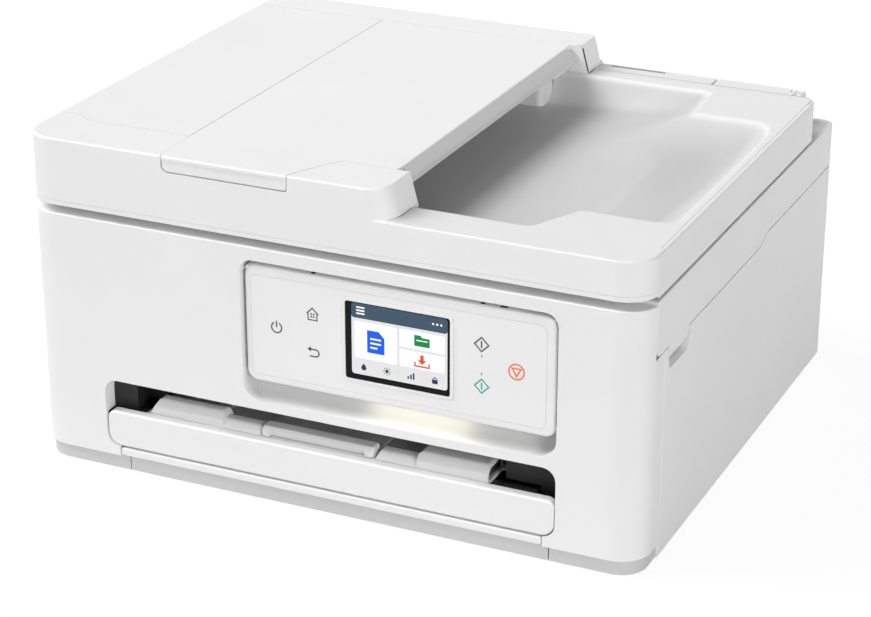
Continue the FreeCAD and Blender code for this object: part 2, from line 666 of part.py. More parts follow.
def side_guide(wall, foot):
    """Paper guide from the inner face of its fence to the outer edge of its foot."""
    thickness = math.copysign(2.5, foot - wall)
    fence = block(sorted((wall, wall + thickness)), (-60, 60), (4.4, 30.0))
    fence = soften(fence, 1.0, lambda b: b.ZMin > 29)
    span = sorted((wall, foot))
    ribs = [block(span, (y, y + 2), (6.0, 18.0)) for y in (-50.0, 0.0, 48.0)]
    return fuse(fence, block(span, (-60, 60), (4.4, 6.4)), *ribs)


def side_guide_left():
    return side_guide(-107.5, -121.0)


def side_guide_right():
    return side_guide(107.5, 121.0)


def length_guide():
    fence = soften(block((-24.0, 24.0), (-151.5, -149.0), (4.4, 30.0)), 1.0, lambda b: b.ZMin > 29)
    foot = block((-18.0, 18.0), (-157.5, -149.0), (4.4, 6.4))
    ribs = [block((x - 1, x + 1), (-157.0, -150.0), (6.0, 20.0)) for x in (-12.0, 12.0)]
    return fuse(fence, foot, *ribs)


# Operation panel

def panel_shell():
    blank = prism("y", PANEL_FRONT, PANEL_BACK, rect(*PANEL, radius=6.5))
    blank = soften(blank, 1.6, front_at(PANEL_FRONT))
    hollow = prism("y", PANEL_FRONT + WALL, PANEL_BACK + 1, rect(*inset(PANEL, 2.2), radius=4.3))
    bed = prism("y", PANEL_FRONT - 1, PANEL_FRONT + 0.5, rect(*inset(FILM, -0.15), radius=3.6))
    shell = cut(blank, hollow, bed)
    rim = prism("y", PANEL_FRONT - 0.5, PANEL_FRONT + WALL, rect(*inset(LCD, -2.0), radius=2.6))
    rim = soften(rim, 0.4, front_at(PANEL_FRONT - 0.5))
    bosses = []
    for x in ((PANEL[0] + 1, PANEL[0] + 9), (PANEL[1] - 9, PANEL[1] - 1)):
        bosses.append(block(x, (PANEL_AXIS[0] - 4, PANEL_BACK), (PANEL_AXIS[1] - 3, PANEL[3] - 1)))
    window = prism("y", PANEL_FRONT - 5, PANEL_FRONT + 5, rect(*inset(LCD, -0.1), radius=1.6))
    light_slot = block((LIGHT_X[0] - 0.2, LIGHT_X[1] + 0.2), (-170.2, -164.4), (PANEL[2] - 1, PANEL[2] + 1.7))
    bores = [rod("x", 1.5 + SHAFT_PLAY, x[0], x[1], *PANEL_AXIS) for x in panel_pin_spans()]
    return cut(fuse(shell, rim, *bosses), window, light_slot, *bores)


def panel_film():
    sheet = prism("y", PANEL_FRONT, PANEL_FRONT + 0.45, rect(*FILM, radius=3.5))
    return cut(sheet, prism("y", PANEL_FRONT - 1, PANEL_FRONT + 1, rect(*inset(LCD, -2.15), radius=2.7)))


def lcd_module():
    glass = prism("y", PANEL_FRONT - 0.2, PANEL_FRONT + 2.4, rect(*LCD, radius=1.5))
    tray = prism("y", PANEL_FRONT + 2.4, -166.2, rect(*inset(LCD, 1.0), radius=1.0))
    return fuse(glass, tray)


def panel_board():
    board = block((-36.0, 125.0), (-165.4, -163.8), (82.0, 134.0))
    keys = [rod("y", 4.0, -169.2, -165.2, x, z) for x, z in key_places()]
    return fuse(board, *keys)


def key_places():
    return [(-28.7, 109.6), (-6.2, 121.4), (-6.2, 98.1), (94.7, 121.6), (94.7, 97.6), (114.9, 109.6)]


def light_bar():
    low = PANEL[2] + 0.6
    return soften(block(LIGHT_X, (-170.0, -164.6), (low, low + 1.0)), 0.4, flat_at(low))


# Scanner unit

GLASS_X = (-124.0, 174.0)
GLASS_Y = (-110.0, 108.0)
FEEDER_GLASS_X = (-152.0, -132.0)


def scanner_outline(amount):
    radii = [0.5, 0.5, CASE_REAR_CORNER - amount, CASE_REAR_CORNER - amount]
    return rect(-HALF + amount, HALF - amount, HIGH_SEAM + amount, CASE_BACK - amount, radii=radii)


def scanner_base():
    blank = prism("z", SKIRT_FRONT - 2, SCAN_TOP, scanner_outline(0))
    blank = soften(blank, 0.8, flat_at(SCAN_TOP))
    walls = cut(blank, prism("z", 100, 200, scanner_outline(WALL)))
    walls = walls.common(prism("x", -200, 200, seam_profile(0)))
    floor = prism("z", 131.0, 133.0, scanner_outline(1))
    rail = block((-159.0, 176.0), (-3.0, 3.0), (132.5, 136.0))
    knuckles = both_sides(scanner_knuckle((134.4, 145.6), SCANNER_AXIS[1] + 1.6, SKIRT_REAR + 4))
    skirt_gap = block((-172, 172), (HIGH_SEAM - 1, HIGH_SEAM + WALL + 0.2), (100, 131.0))
    base = fuse(cut(walls, skirt_gap, skirt_corner()), floor, rail, *(knuckles + both_sides(lift_lip())))
    return cut(base, *both_sides(scanner_pin(2.0 + SHAFT_PLAY)))


def skirt_corner():
    """What rounds off the lower front corner of the skirt."""
    radius = 5.0
    y, z = HIGH_SEAM + radius, SKIRT_FRONT + radius
    square = block((-200, 200), (y - radius - 1, y), (z - radius - 1, z))
    return cut(square, rod("x", radius, -200, 200, y, z))


def lift_lip():
    """Curved lip below the skirt that fingertips lift the scanner unit by, inside the finger grip."""
    out = HALF - 1.9
    section = [(HALF, 130.0), (HALF, 121.6, 8.0), (HALF - 1.6, 116.4, 8.0), (HALF - 4.6, 111.6),
               (out - 4.6, 112.4), (out - 1.6, 117.0, 6.0), (out, 121.6, 6.0), (out, 130.0)]
    return prism("y", -150, -100, section).common(prism("x", 170, 200, grip_outline(-1.2)))


def lid_ears():
    """Fixed towers on the scanner top that hold the lid's hinge pins; the widest hides the wiring."""
    profile = [(140.0, SCAN_TOP - 1), (156.0, SCAN_TOP - 1), (156.0, 176.0, 5), (140.0, 176.0, 5)]
    return [prism("x", x[0], x[1], profile)
            for x in ((46.8, 113.0), (164.0, 170.0), (-170.0, -164.0), (-113.0, -107.0))]


def scanner_top():
    plate = prism("z", SCAN_TOP - 2.6, SCAN_TOP - 0.1, scanner_outline(WALL + 0.15))
    windows = [block(GLASS_X, GLASS_Y, (140, 170)), block(FEEDER_GLASS_X, GLASS_Y, (140, 170))]
    plate = cut(plate, *windows)
    skirts = [block((GLASS_X[1] + 3.4, GLASS_X[1] + 5.4), (-120, 118), (133.2, 156)),
              block((-162.0, -160.0), (-120, 118), (133.2, 156))]
    bores = [rod("x", 2.5 + SHAFT_PLAY, x[0], x[1], *LID_AXIS) for x in lid_pin_spans()]
    return cut(fuse(plate, *(lid_ears() + skirts)), *bores)


def lid_pin_spans():
    return [(107.5, 172.0), (-172.0, -105.0)]


def lid_hinge_pins():
    return group(*[rod("x", 2.5, x[0] + 0.5, x[1] - 0.5, *LID_AXIS) for x in lid_pin_spans()])


def scan_glass():
    top = SCAN_TOP - 2.7
    panes = [block((x[0] - 2.5, x[1] + 2.5), (GLASS_Y[0] - 4, GLASS_Y[1] + 4), (top - 2.2, top))
             for x in (GLASS_X, FEEDER_GLASS_X)]
    return group(*panes)


def scan_carriage():
    bar = block((-152.0, -132.0), (-114.0, 112.0), (138.5, 150.0))
    lens = block((-144.0, -140.0), (-110.0, 108.0), (149.0, 151.6))
    saddle = cut(block((-156.0, -128.0), (-8.0, 8.0), (134.0, 139.0)),
                 block((-160, -120), (-3.4, 3.4), (130, 136.4)))
    return fuse(bar, lens, saddle)


# Document lid and feeder

LOW_RADII = [CORNER, CORNER, LID_REAR_CORNER, 0]
HIGH_RADII = [CORNER, 0, 4.0, 10.0]


def lid_low(amount, low, high):
    radii = [max(r - amount, 0) for r in LOW_RADII]
    outline = rect(-HALF + amount, LID_RIGHT - amount, FRONT + amount, LID_BACK - amount, radii=radii)
    return prism("z", low, high, outline)


def lid_high(amount, low, high):
    radii = [max(r - amount, 0) for r in HIGH_RADII]
    outline = rect(-HALF + amount, BLOCK_FOOT_RIGHT - amount, FRONT + amount, BAR_BACK - amount, radii=radii)
    return prism("z", low, high, outline)


def feeder_block(amount):
    """Raised left part of the lid, with its leaning right end, reduced by a wall thickness."""
    top = HEIGHT - amount
    lean = (BLOCK_FOOT_RIGHT - BLOCK_TOP_RIGHT) / (HEIGHT - LID_TOP)
    foot = BLOCK_FOOT_RIGHT - amount + lean * (LID_TOP - LID_BOTTOM)
    head = BLOCK_TOP_RIGHT - amount + lean * amount
    body = prism("y", FRONT + amount, BAR_BACK - amount,
                 [(-HALF + amount, LID_BOTTOM), (foot, LID_BOTTOM), (head, top), (-HALF + amount, top)])

    def upright(b):
        return b.YLength < 1e-6 and b.ZLength > 10

    def pick(x_low, x_high, y):
        return lambda b: upright(b) and x_low < b.XMin < x_high and abs(b.YMin - y) < 1e-6

    body = soften(body, CORNER - amount, pick(-190, -150, FRONT + amount))
    body = soften(body, 13.0 - amount, pick(0, 80, FRONT + amount))
    body = soften(body, 10.0 - amount, pick(-190, -150, BAR_BACK - amount))
    body = soften(body, 5.0 - amount, pick(0, 80, BAR_BACK - amount))
    return body


def lid_shell():
    """Outer skin of the lid above its rim: the low right part and the raised feeder together."""
    low = soften(lid_low(0, LID_BOTTOM, LID_TOP), TOP_EDGE, flat_at(LID_TOP))
    high = soften(feeder_block(0), TOP_EDGE, flat_at(HEIGHT))
    high_inside = feeder_block(WALL)
    low_inside = lid_low(WALL, LID_BOTTOM, LID_TOP - WALL)
    return cut(fuse(low, high), fuse(low_inside, high_inside))


def lid_base():
    plan = fuse(lid_low(0, LID_BOTTOM, LID_RIM), lid_high(0, LID_BOTTOM, LID_RIM))
    plan = cut(plan, block((-200, 200), (-200, HIGH_SEAM + 2), (150, LID_LIP)))
    low_blank = soften(lid_low(0, LID_RIM - 1, LID_TOP), 0.7, flat_at(LID_TOP))
    low_ring = cut(low_blank, lid_low(WALL, LID_RIM - 2, LID_TOP + 1))
    right = low_ring.common(block((BLOCK_FOOT_RIGHT + 0.4, 200), (RAIL_BACK + JOIN, 200), (150, 200)))
    high_ring = cut(lid_high(0, LID_RIM - 1, 171.6), lid_high(WALL, LID_RIM - 2, 190))
    left = high_ring.common(block((-200, -180), (-131.6, BAR_FRONT - SEAM), (150, 200)))
    arms = []
    for x, start in (((115.0, 163.5), LID_BACK - 1), ((-163.5, -115.0), BAR_BACK - 1)):
        barrel = rod("x", 7.2, x[0], x[1], *LID_AXIS)
        arm = block(x, (start, LID_AXIS[0]), (164.0, 173.0))
        arms += [barrel, arm]
    tie = block((-163.5, -115.0), (LID_BACK - 1, BAR_BACK), (LID_RIM - 0.5, 165.0))
    base = fuse(plan, right, left, tie, *(arms + hinge_strips()))
    return cut(base, *[rod("x", 2.5 + SHAFT_PLAY, x[0], x[1], *LID_AXIS) for x in lid_pin_spans()])


def hinge_strips():
    """Two flush strips behind the lid's rear edge that cover the hinge."""
    back = BAR_BACK - 2.0
    strips = []
    for x in ((BLOCK_FOOT_RIGHT + 0.6, 118.6), (120.4, 170.4)):
        strip = block(x, (LID_BACK - 1, back), (176.0, LID_TOP - 0.3))
        strips.append(soften(strip, 0.8, lambda b: b.YMin > back - 1e-3))
    gap = block((0, 200), (LID_BACK, LID_BACK + 0.5), (LID_TOP - 2, 200))
    slot = block((50.0, 86.0), (back - 4.4, back - 1.6), (LID_TOP - 2.2, 200))
    notch = block((167.4, 169.4), (back - 6.0, back + 1), (LID_TOP - 3, 200))
    return [cut(strip, gap, slot, notch) for strip in strips]


def front_region():
    """Plan of the feeder's front piece: rail, front block, tray front and the left front corner."""
    return [(-200, -180), (200, -180), (200, RAIL_BACK), (BLOCK_FOOT_RIGHT + 8, RAIL_BACK),
            (BLOCK_FOOT_RIGHT + 8, BLOCK_BACK), (-2.4, BLOCK_BACK, 4.0), (-8.0, -148.0, 4.0),
            (-19.4, FRONT + WALL),
            (COVER_RIGHT, FRONT + WALL), (COVER_RIGHT, -139.0), (-165.0, -139.0, 3.0), (-174.0, -132.4, 3.0),
            (-200, -132.4)]


def lid_front():
    shell = lid_shell().common(prism("z", LID_RIM + 0.15, 210, front_region()))
    shell = cut(shell, block((BLOCK_FOOT_RIGHT + 0.3, 200), (RAIL_BACK, -100), (150, 200)))
    tab_notch = prism("y", FRONT - 2, FRONT + 8, rect(-97.8, -19.4, 190.3, 210, radii=[4.0, 2.5, 0, 0]))
    end_wall = block((-1.0, BLOCK_FOOT_RIGHT + 4), (BLOCK_BACK - 2.2, BLOCK_BACK), (166.0, HEIGHT - 1.5))
    boss = block((-187.0, -180.5), (-146.0, -139.0), (171.9, 179.0))
    shell = fuse(cut(shell, tab_notch), end_wall.common(feeder_block(1.0)), boss)
    pins = [rod("y", 1.5 + SHAFT_PLAY, -150, -130, *axis) for axis in (COVER_AXIS, TRAY_AXIS)]
    return cut(shell, *pins)


def feeder_rear_bar():
    low = LID_RIM + 0.15
    shell = lid_shell().common(block((-200, 70), (BAR_FRONT, 160), (low, 210)))
    face = block((-186.0, 60.0), (BAR_FRONT, BAR_FRONT + 2.2), (low, HEIGHT - 1)).common(feeder_block(1.0))
    boss = block((-187.0, -180.5), (BAR_FRONT, BAR_FRONT + 7), (171.9, 179.0))
    foot_room = block((BLOCK_FOOT_RIGHT, 100), (100, 200), (150, LID_TOP + 0.3))
    foot = BLOCK_FOOT_RIGHT
    end_wall = block((foot - 2.2, foot), (BAR_FRONT, BAR_BACK - 1), (low, LID_TOP + 1))
    arm_room = block((-164.0, -114.5), (130, 140), (150, 174.5))
    shell = cut(fuse(cut(fuse(shell, face, boss), foot_room), end_wall), arm_room, end_groove())
    pins = [rod("y", 1.5 + SHAFT_PLAY, 100, 120, *axis) for axis in (COVER_AXIS, TRAY_AXIS)]
    return cut(shell, *pins)


def end_groove():
    """Groove down the leaning end of the rear bar, behind its front face."""
    lean = (BLOCK_FOOT_RIGHT - BLOCK_TOP_RIGHT) / (HEIGHT - LID_TOP)
    drop = HEIGHT - LID_TOP + 3
    top = BLOCK_TOP_RIGHT - 4.0
    foot = HEIGHT - drop
    corners = [(top, HEIGHT), (top + 20, HEIGHT), (top + 20, foot), (top + lean * drop, foot)]
    return prism("y", BAR_FRONT + 0.6, BAR_FRONT + 2.2, corners)


TRAY_FLOOR = 165.5
TRAY_UNDER = 163.2


def document_output_tray():
    left, rear = BLOCK_FOOT_RIGHT + 0.3, LID_BACK - WALL - 0.3
    slab = block((left, LID_RIGHT - WALL - 0.3), (RAIL_BACK, rear), (TRAY_UNDER, LID_TOP))
    slab = slab.common(lid_low(WALL + 0.3, TRAY_UNDER, LID_TOP))
    deep = prism("z", TRAY_FLOOR, 200, [(0, -146.0), (108.0, -146.0, 10), (118.0, -104.0, 10),
                                        (118.0, 62.0, 10), (112.0, 84.0, 10), (0, 84.0)])
    slope = [(110.0, TRAY_FLOOR), (176.0, 176.0), (176.0, 200.0), (110.0, 200.0)]
    scoop = prism("z", 150, 200, rect(100.0, 174.0, -104.0, 60.0, 12)).common(prism("y", -104.0, 60.0, slope))
    ramp = prism("x", 0, 114, [(80.0, TRAY_FLOOR), (106.5, LID_TOP), (106.5, 200.0), (80.0, 200.0)])
    floor = block((-60.0, left), (-138.0, BAR_FRONT - 0.6), (TRAY_UNDER, TRAY_FLOOR))
    return fuse(cut(slab, deep, scoop, ramp), floor)


def feeder_frame():
    chute = prism("y", -135.0, 106.0, [(-97.0, 178.0), (24.0, 186.0), (24.0, 188.0), (-97.0, 180.0)])
    cheeks = [block((-97.0, 24.0), y, (TRAY_FLOOR + 0.2, 192.0)) for y in ((-137.0, -134.5), (105.5, 108.0))]
    post = prism("z", TRAY_FLOOR + 0.2, 187.5, rect(-10.0, 22.0, 85.0, 105.6, radii=[0, 4.0, 4.0, 0]))
    link = block((20.0, 30.0), (84.0, 106.0), (184.6, 187.5))
    bed = LID_RIM + 0.2
    guide = prism("y", -125.0, 100.0, [(-178.0, bed), (-97.0, bed), (-97.0, 172.0), (-120.0, 173.0),
                                       (-150.0, 169.0), (-178.0, 172.0)])
    tie = block((-98.0, -95.0), (-134.5, 105.5), (bed, 179.0))
    return fuse(chute, post, link, guide, tie, *cheeks)


def lid_pad():
    return block((-154.0, 178.0), (-116.0, 114.0), (SCAN_TOP + 0.5, LID_BOTTOM))


def feeder_cover():
    region = [(-200, -132.0), (-173.8, -132.0, 3.0), (-164.8, -138.6, 3.0), (COVER_RIGHT - SEAM, -138.6),
              (COVER_RIGHT - SEAM, BAR_FRONT - SEAM), (-200, BAR_FRONT - SEAM)]
    shell = lid_shell().common(prism("z", COVER_AXIS[1], 210, region))
    barrel = rod("y", 3.4, -131.6, BAR_FRONT - 0.6, *COVER_AXIS)
    ears = [block((-149.0, -131.0), y, (180.0, HEIGHT - 2)) for y in ((-53.0, -50.0), (20.0, 23.0))]
    ribs = [block((-184.0, -101.0), (y, y + 1.6), (190.0, HEIGHT - 2)) for y in (-120.0, -85.0, 55.0, 90.0)]
    bores = [rod("y", 3.0 + SHAFT_PLAY, -60, 30, *ROLLER_AXIS)]
    bores += [rod("y", 1.5 + SHAFT_PLAY, y[0], y[1], *COVER_AXIS) for y in ((-140.0, -118.0), (96.0, 120.0))]
    return cut(fuse(shell, barrel, *(ears + ribs)), cover_bevel(), *bores)


def cover_bevel():
    """Undercut along the step in the cover's front seam, so that the step clears as the cover swings up."""
    start = V(-176.0, -130.4, 0)
    along = V(12.6, -9.2, 0)
    inward = V(9.2, 12.6, 0).normalize()
    under = V(0, 0, FEEDER_UNDER - 1)
    corners = [start + V(0, 0, HEIGHT - 0.5), start + inward * 3.4 + under, start - inward * 2 + under]
    return Part.Face(Part.makePolygon(corners + corners[:1])).extrude(along)


def feeder_roller():
    shaft = rod("y", 3.0, -55.0, 25.0, *ROLLER_AXIS)
    tyres = [rod("y", 8.6, y, y + 18.0, *ROLLER_AXIS) for y in (-46.0, -2.0)]
    return fuse(shaft, *tyres)


def document_tray():
    left, back = COVER_RIGHT + 0.2, BAR_FRONT - SEAM
    outline = [(-97.2, FRONT - 1), (-20.0, FRONT - 1), (-20.0, FRONT + 2.8), (-8.5, -147.7, 4.0),
               (-2.8, -139.5, 4.0), (TRAY_RIGHT, -139.5), (TRAY_RIGHT, back), (left, back),
               (left, FRONT + 3.0), (-97.2, FRONT + 3.0)]
    envelope = soften(feeder_block(0), TOP_EDGE, flat_at(HEIGHT))
    plate = envelope.common(prism("z", FEEDER_UNDER, 210, outline))
    tab = rect(-97.2, -20.0, 190.9, FEEDER_UNDER + 0.5, radii=[3.5, 2.0, 0, 0])
    tab = prism("y", FRONT + 0.5, FRONT + 2.6, tab)
    tab = soften(tab, 0.6, lambda b: front_at(FRONT + 0.5)(b) and b.ZMax < FEEDER_UNDER)
    edge = TRAY_EDGE
    apron = [(28.0, FEEDER_UNDER), (TRAY_RIGHT - 0.5, HEIGHT), (TRAY_RIGHT, HEIGHT, 0.2),
             (edge, 195.4, 0.8), (edge, 193.2), (edge - 0.5, 193.0), (edge - 0.5, 191.6),
             (edge - 1.6, 191.6), (edge - 1.6, 193.8)]
    apron = prism("y", -133.9, 103.7, apron)
    barrels = [rod("y", 2.6, y[0], y[1], *TRAY_AXIS) for y in ((-139.3, -124.0), (94.0, BAR_FRONT - 0.6))]
    webs = [block((TRAY_AXIS[0] - 2, TRAY_AXIS[0] + 2), y, (TRAY_AXIS[1], 196.0))
            for y in ((-133.9, -124.0), (94.0, 103.7))]
    bores = [rod("y", 1.5 + SHAFT_PLAY, y[0], y[1], *TRAY_AXIS) for y in ((-150.0, -126.0), (96.0, 120.0))]
    return cut(fuse(plate, tab, apron, *(barrels + webs)), *bores)


def feeder_pins():
    """Pins of the feeder cover and of the document tray, held in the lid."""
    pins = []
    for axis in (COVER_AXIS, TRAY_AXIS):
        pins.append(rod("y", 1.5, -143.0, -127.0, *axis))
        pins.append(rod("y", 1.5, 97.0, BAR_FRONT + 4, *axis))
    return pins


NODES = {
    "base_frame": base_frame,
    "rubber_feet": rubber_feet,
    "front_cover": front_cover,
    "right_cover": right_cover,
    "left_cover": lambda: both_sides(right_cover())[1],
    "rear_cover": rear_cover,
    "rear_access_cover": rear_access_cover,
    "case_screws": case_screws,
    "body_hinge_pins": body_hinge_pins,
    "main_frame": main_frame,
    "access_frame": access_frame,
    "carriage_rail": carriage_rail,
    "carriage_belt": carriage_belt,
    "carriage_motor": carriage_motor,
    "drive_pulley": lambda: pulley(BELT_AXIS_X),
    "idler_pulley": lambda: pulley(-BELT_AXIS_X),
    "platen": platen,
    "purge_unit": purge_unit,
    "transport_guide": transport_guide,
    "pinch_holder": pinch_holder,
    "pinch_rollers": pinch_rollers,
    "feed_roller": feed_roller,
    "eject_roller": eject_roller,
    "idler_gear": idler_gear,
    "feed_motor": feed_motor,
    "pickup_arm": pickup_arm,
    "pickup_roller": pickup_roller,
    "carriage": carriage,
    "cartridge_black": lambda: cartridge(0),
    "cartridge_colour": lambda: cartridge(1),
    "power_supply": power_supply,
    "ac_inlet": ac_inlet,
    "logic_board": logic_board,
    "usb_socket": usb_socket,
    "cassette_tub": cassette_tub,
    "cassette_front": cassette_front,
    "output_tray": output_tray,
    "output_support": output_support,
    "side_guide_left": side_guide_left,
    "side_guide_right": side_guide_right,
    "length_guide": length_guide,
    "panel_shell": panel_shell,
    "panel_film": panel_film,
    "lcd_module": lcd_module,
    "panel_board": panel_board,
    "light_bar": light_bar,
    "scanner_base": scanner_base,
    "scanner_top": scanner_top,
    "scan_glass": scan_glass,
    "scan_carriage": scan_carriage,
    "lid_base": lid_base,
    "lid_front": lid_front,
    "feeder_rear_bar": feeder_rear_bar,
    "document_output_tray": document_output_tray,
    "feeder_frame": feeder_frame,
    "lid_pad": lid_pad,
    "lid_hinge_pins": lambda: group(*(lid_hinge_pins().Solids + feeder_pins())),
    "feeder_cover": feeder_cover,
    "feeder_roller": feeder_roller,
    "document_tray": document_tray,
}


def main():
    os.makedirs("parts", exist_ok=True)
    for name, make in NODES.items():
        solids = make().Solids
        shape = solids[0] if len(solids) == 1 else Part.makeCompound(solids)
        box = shape.BoundBox
        print(f"{name}: {len(solids)} solid, valid {shape.isValid()}, {shape.Volume / 1000:.1f} cm3,",
              f"x {box.XMin:.1f}..{box.XMax:.1f} y {box.YMin:.1f}..{box.YMax:.1f} "
              f"z {box.ZMin:.1f}..{box.ZMax:.1f}")
        shape.exportStep(f"parts/{name}.step")


main()
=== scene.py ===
"""Looks of the white inkjet multifunction printer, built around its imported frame, in metres."""
import json
import math

import bmesh
import bpy
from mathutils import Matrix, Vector


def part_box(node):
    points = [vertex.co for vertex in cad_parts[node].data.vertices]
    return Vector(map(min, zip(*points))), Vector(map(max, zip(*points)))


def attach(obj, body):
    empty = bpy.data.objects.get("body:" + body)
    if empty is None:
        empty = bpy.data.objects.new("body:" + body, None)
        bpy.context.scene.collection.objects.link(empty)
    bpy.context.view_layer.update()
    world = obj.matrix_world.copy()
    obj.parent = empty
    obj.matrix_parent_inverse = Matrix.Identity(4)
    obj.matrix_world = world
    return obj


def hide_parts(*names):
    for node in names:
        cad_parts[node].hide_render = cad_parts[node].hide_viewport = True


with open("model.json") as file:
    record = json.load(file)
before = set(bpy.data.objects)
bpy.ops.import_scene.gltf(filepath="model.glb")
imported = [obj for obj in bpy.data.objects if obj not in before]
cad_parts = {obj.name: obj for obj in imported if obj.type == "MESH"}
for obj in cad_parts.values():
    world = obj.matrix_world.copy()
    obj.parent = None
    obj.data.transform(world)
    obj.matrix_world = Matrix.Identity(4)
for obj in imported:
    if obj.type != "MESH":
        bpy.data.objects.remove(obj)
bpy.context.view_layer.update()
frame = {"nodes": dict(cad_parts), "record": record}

MM = 0.001
NODES = frame["nodes"]
SLOT_OF = {part["node"]: part["material_slot"] for part in frame["record"]["subparts"]}

# Camera fitted to the photograph: place in millimetres, angles in degrees, lens for a 36 mm wide sensor
CAMERA_PLACE = (581.4, -1292.3, 663.4)
CAMERA_AZIMUTH = 24.64
CAMERA_ELEVATION = 23.10
CAMERA_LENS = 104.02
SENSOR_WIDTH = 36.0
CAMERA_NEAR = 0.01

# Lamps: azimuth from the front to the right, elevation and spread in degrees, and strength
LAMPS = {
    "key": (-84, 36, 32, 1.25),
    "top_left": (-66, 52, 32, 1.75),
    "fill": (53, 12, 25, 1.56),
    "front": (-14, 28, 40, 0.32),
}
AMBIENT = 0.16
FULL_WHITE = (1, 1, 1, 1)

# Floor: the colour that throws light on the part, and the shadow's share and the glow that are seen
FLOOR_SIZE = 6
FLOOR_COLOUR = (0.60, 0.60, 0.60, 1)
SHADOW_SHARE = 0.09
FLOOR_GLOW = 0.93

# Colours, linear
WHITE = (0.86, 0.86, 0.86)
FILM_WHITE = (0.875, 0.875, 0.875)
# Painted shade on the lid's flat tops round the hollow
RIM_PAINTED_SHADE = (0.80, 0.80, 0.80)
# Painted shade in the lid's hollow
HOLLOW_PAINTED_SHADE = (0.62, 0.62, 0.62)
BASE_GREY = (0.62, 0.62, 0.62)
LIGHT_GREY = (0.74, 0.74, 0.74)
STRIP_GREY = (0.60, 0.60, 0.60)
# Painted shade inside the slot, on the output tray and its support
INNER_PAINTED_SHADE = (0.50, 0.50, 0.50)
# Painted shade in the scoop under the operation panel
SCOOP_PAINTED_SHADE = (0.63, 0.63, 0.63)
# Grey of the seams, also used for painted shade in the lid's gaps
SEAM_AND_SHADE_GREY = (0.30, 0.30, 0.30)
BLACK = (0.014, 0.014, 0.015)
INNER_DARK = (0.035, 0.035, 0.036)
CARTRIDGE_DARK = (0.02, 0.02, 0.022)
ROLLER_DARK = (0.08, 0.08, 0.08)
DISPLAY_DARK = (0.006, 0.006, 0.007)
RUBBER_DARK = (0.03, 0.03, 0.03)
GEAR_IVORY = (0.72, 0.70, 0.62)
BOARD_GREEN = (0.02, 0.16, 0.07)
STEEL = (0.60, 0.60, 0.61)
MACHINE_METAL = (0.42, 0.42, 0.43)
GLASS_TINT = (0.86, 0.93, 0.90, 1)
GUIDE_LIGHT = (1.0, 0.96, 0.74)
KEY_COLOURS = {
    "grey": (0.10, 0.10, 0.105),
    "teal": (0.0, 0.44, 0.39),
    "orange": (0.90, 0.17, 0.06),
}
SCREEN_COLOURS = {
    "ground": (0.78, 0.78, 0.79),
    "white": (1.0, 1.0, 1.0),
    "slate": (0.048, 0.090, 0.138),
    "navy": (0.012, 0.045, 0.095),
    "blue": (0.005, 0.115, 0.86),
    "green": (0.0, 0.27, 0.055),
    "red": (0.78, 0.075, 0.012),
}

# Noise of the finishes: its scale and detail, and the part of its range that is used
NOISE_RANGE = (0.3, 0.7)
GRAIN_NOISE = (2400.0, 3.0)
MOTTLE_NOISE = (14.0, 2.0)
METAL_NOISE = (300.0, 4.0)
RUBBER_NOISE = (900.0, 4.0)
BOARD_NOISE = (120.0, 1.0)
GLASS_NOISE = (3.0, 2.0)
LIGHT_NOISE = (900.0, 2.0)

# How far noise changes a colour, as a share of it, and a roughness; bump heights are in metres
MOTTLE = 0.012
METAL_MOTTLE = 0.06
RUBBER_MOTTLE = 0.2
BOARD_MOTTLE = 0.35
LIGHT_MOTTLE = 0.015
GRAIN_GLOSS = 0.05
METAL_GLOSS = 0.08
GRAIN_HEIGHT = 0.0002
RUBBER_HEIGHT = 0.0003

# Zones of painted shade, in millimetres: the scoop under the operation panel, where the painted shade grows
# towards the back, and the lid's flat top round its hollow, where it grows upwards
SCOOP_SHADE_ZONE = {"X": (-51.0, 140.0), "Z": (62.0, 77.0)}
SCOOP_SHADE_DEPTH = (-173.8, -166.5)
HOLLOW_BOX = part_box("document_output_tray")
LID_TOP = HOLLOW_BOX[1][2] / MM
LID_EDGE = (LID_TOP - 1.4, LID_TOP - 0.05)
LID_FLATS = {"X": (43.0, 200.0), "Z": (LID_EDGE[0], LID_TOP + 0.05)}


# Materials

def start_material(name):
    material = bpy.data.materials.new(name)
    material.use_nodes = True
    tree = material.node_tree
    shader = tree.nodes["Principled BSDF"]
    return material, tree, shader


def set_inputs(node, values):
    for name, value in values.items():
        node.inputs[name].default_value = value


def add_node(tree, kind, **settings):
    node = tree.nodes.new(kind)
    for key, value in settings.items():
        if key in node.inputs:
            node.inputs[key].default_value = value
        else:
            setattr(node, key, value)
    return node


def object_noise(tree, scale, detail, stretch=None):
    """Noise in the part's own frame, so that it stays with the surface as the part moves."""
    place = add_node(tree, "ShaderNodeTexCoord").outputs["Object"]
    if stretch:
        mapping = add_node(tree, "ShaderNodeMapping", Scale=stretch)
        tree.links.new(place, mapping.inputs["Vector"])
        place = mapping.outputs["Vector"]
    noise = add_node(tree, "ShaderNodeTexNoise", Scale=scale, Detail=detail)
    tree.links.new(place, noise.inputs["Vector"])
    return noise


def vary(tree, noise, low, high):
    """Socket of a number that follows the noise between two limits."""
    spread = add_node(tree, "ShaderNodeMapRange")
    start, end = NOISE_RANGE
    set_inputs(spread, {"From Min": start, "From Max": end, "To Min": low, "To Max": high})
    tree.links.new(noise.outputs["Fac"], spread.inputs["Value"])
    return spread.outputs["Result"]


def vary_colour(tree, noise, colour, amount):
    """Socket of a colour that follows the noise from a little darker to a little lighter."""
    ramp = add_node(tree, "ShaderNodeValToRGB")
    for i, share in enumerate((1 - amount, 1 + amount)):
        ramp.color_ramp.elements[i].position = NOISE_RANGE[i]
        ramp.color_ramp.elements[i].color = [min(1, c * share) for c in colour] + [1]
    tree.links.new(noise.outputs["Fac"], ramp.inputs["Fac"])
    return ramp.outputs["Color"]


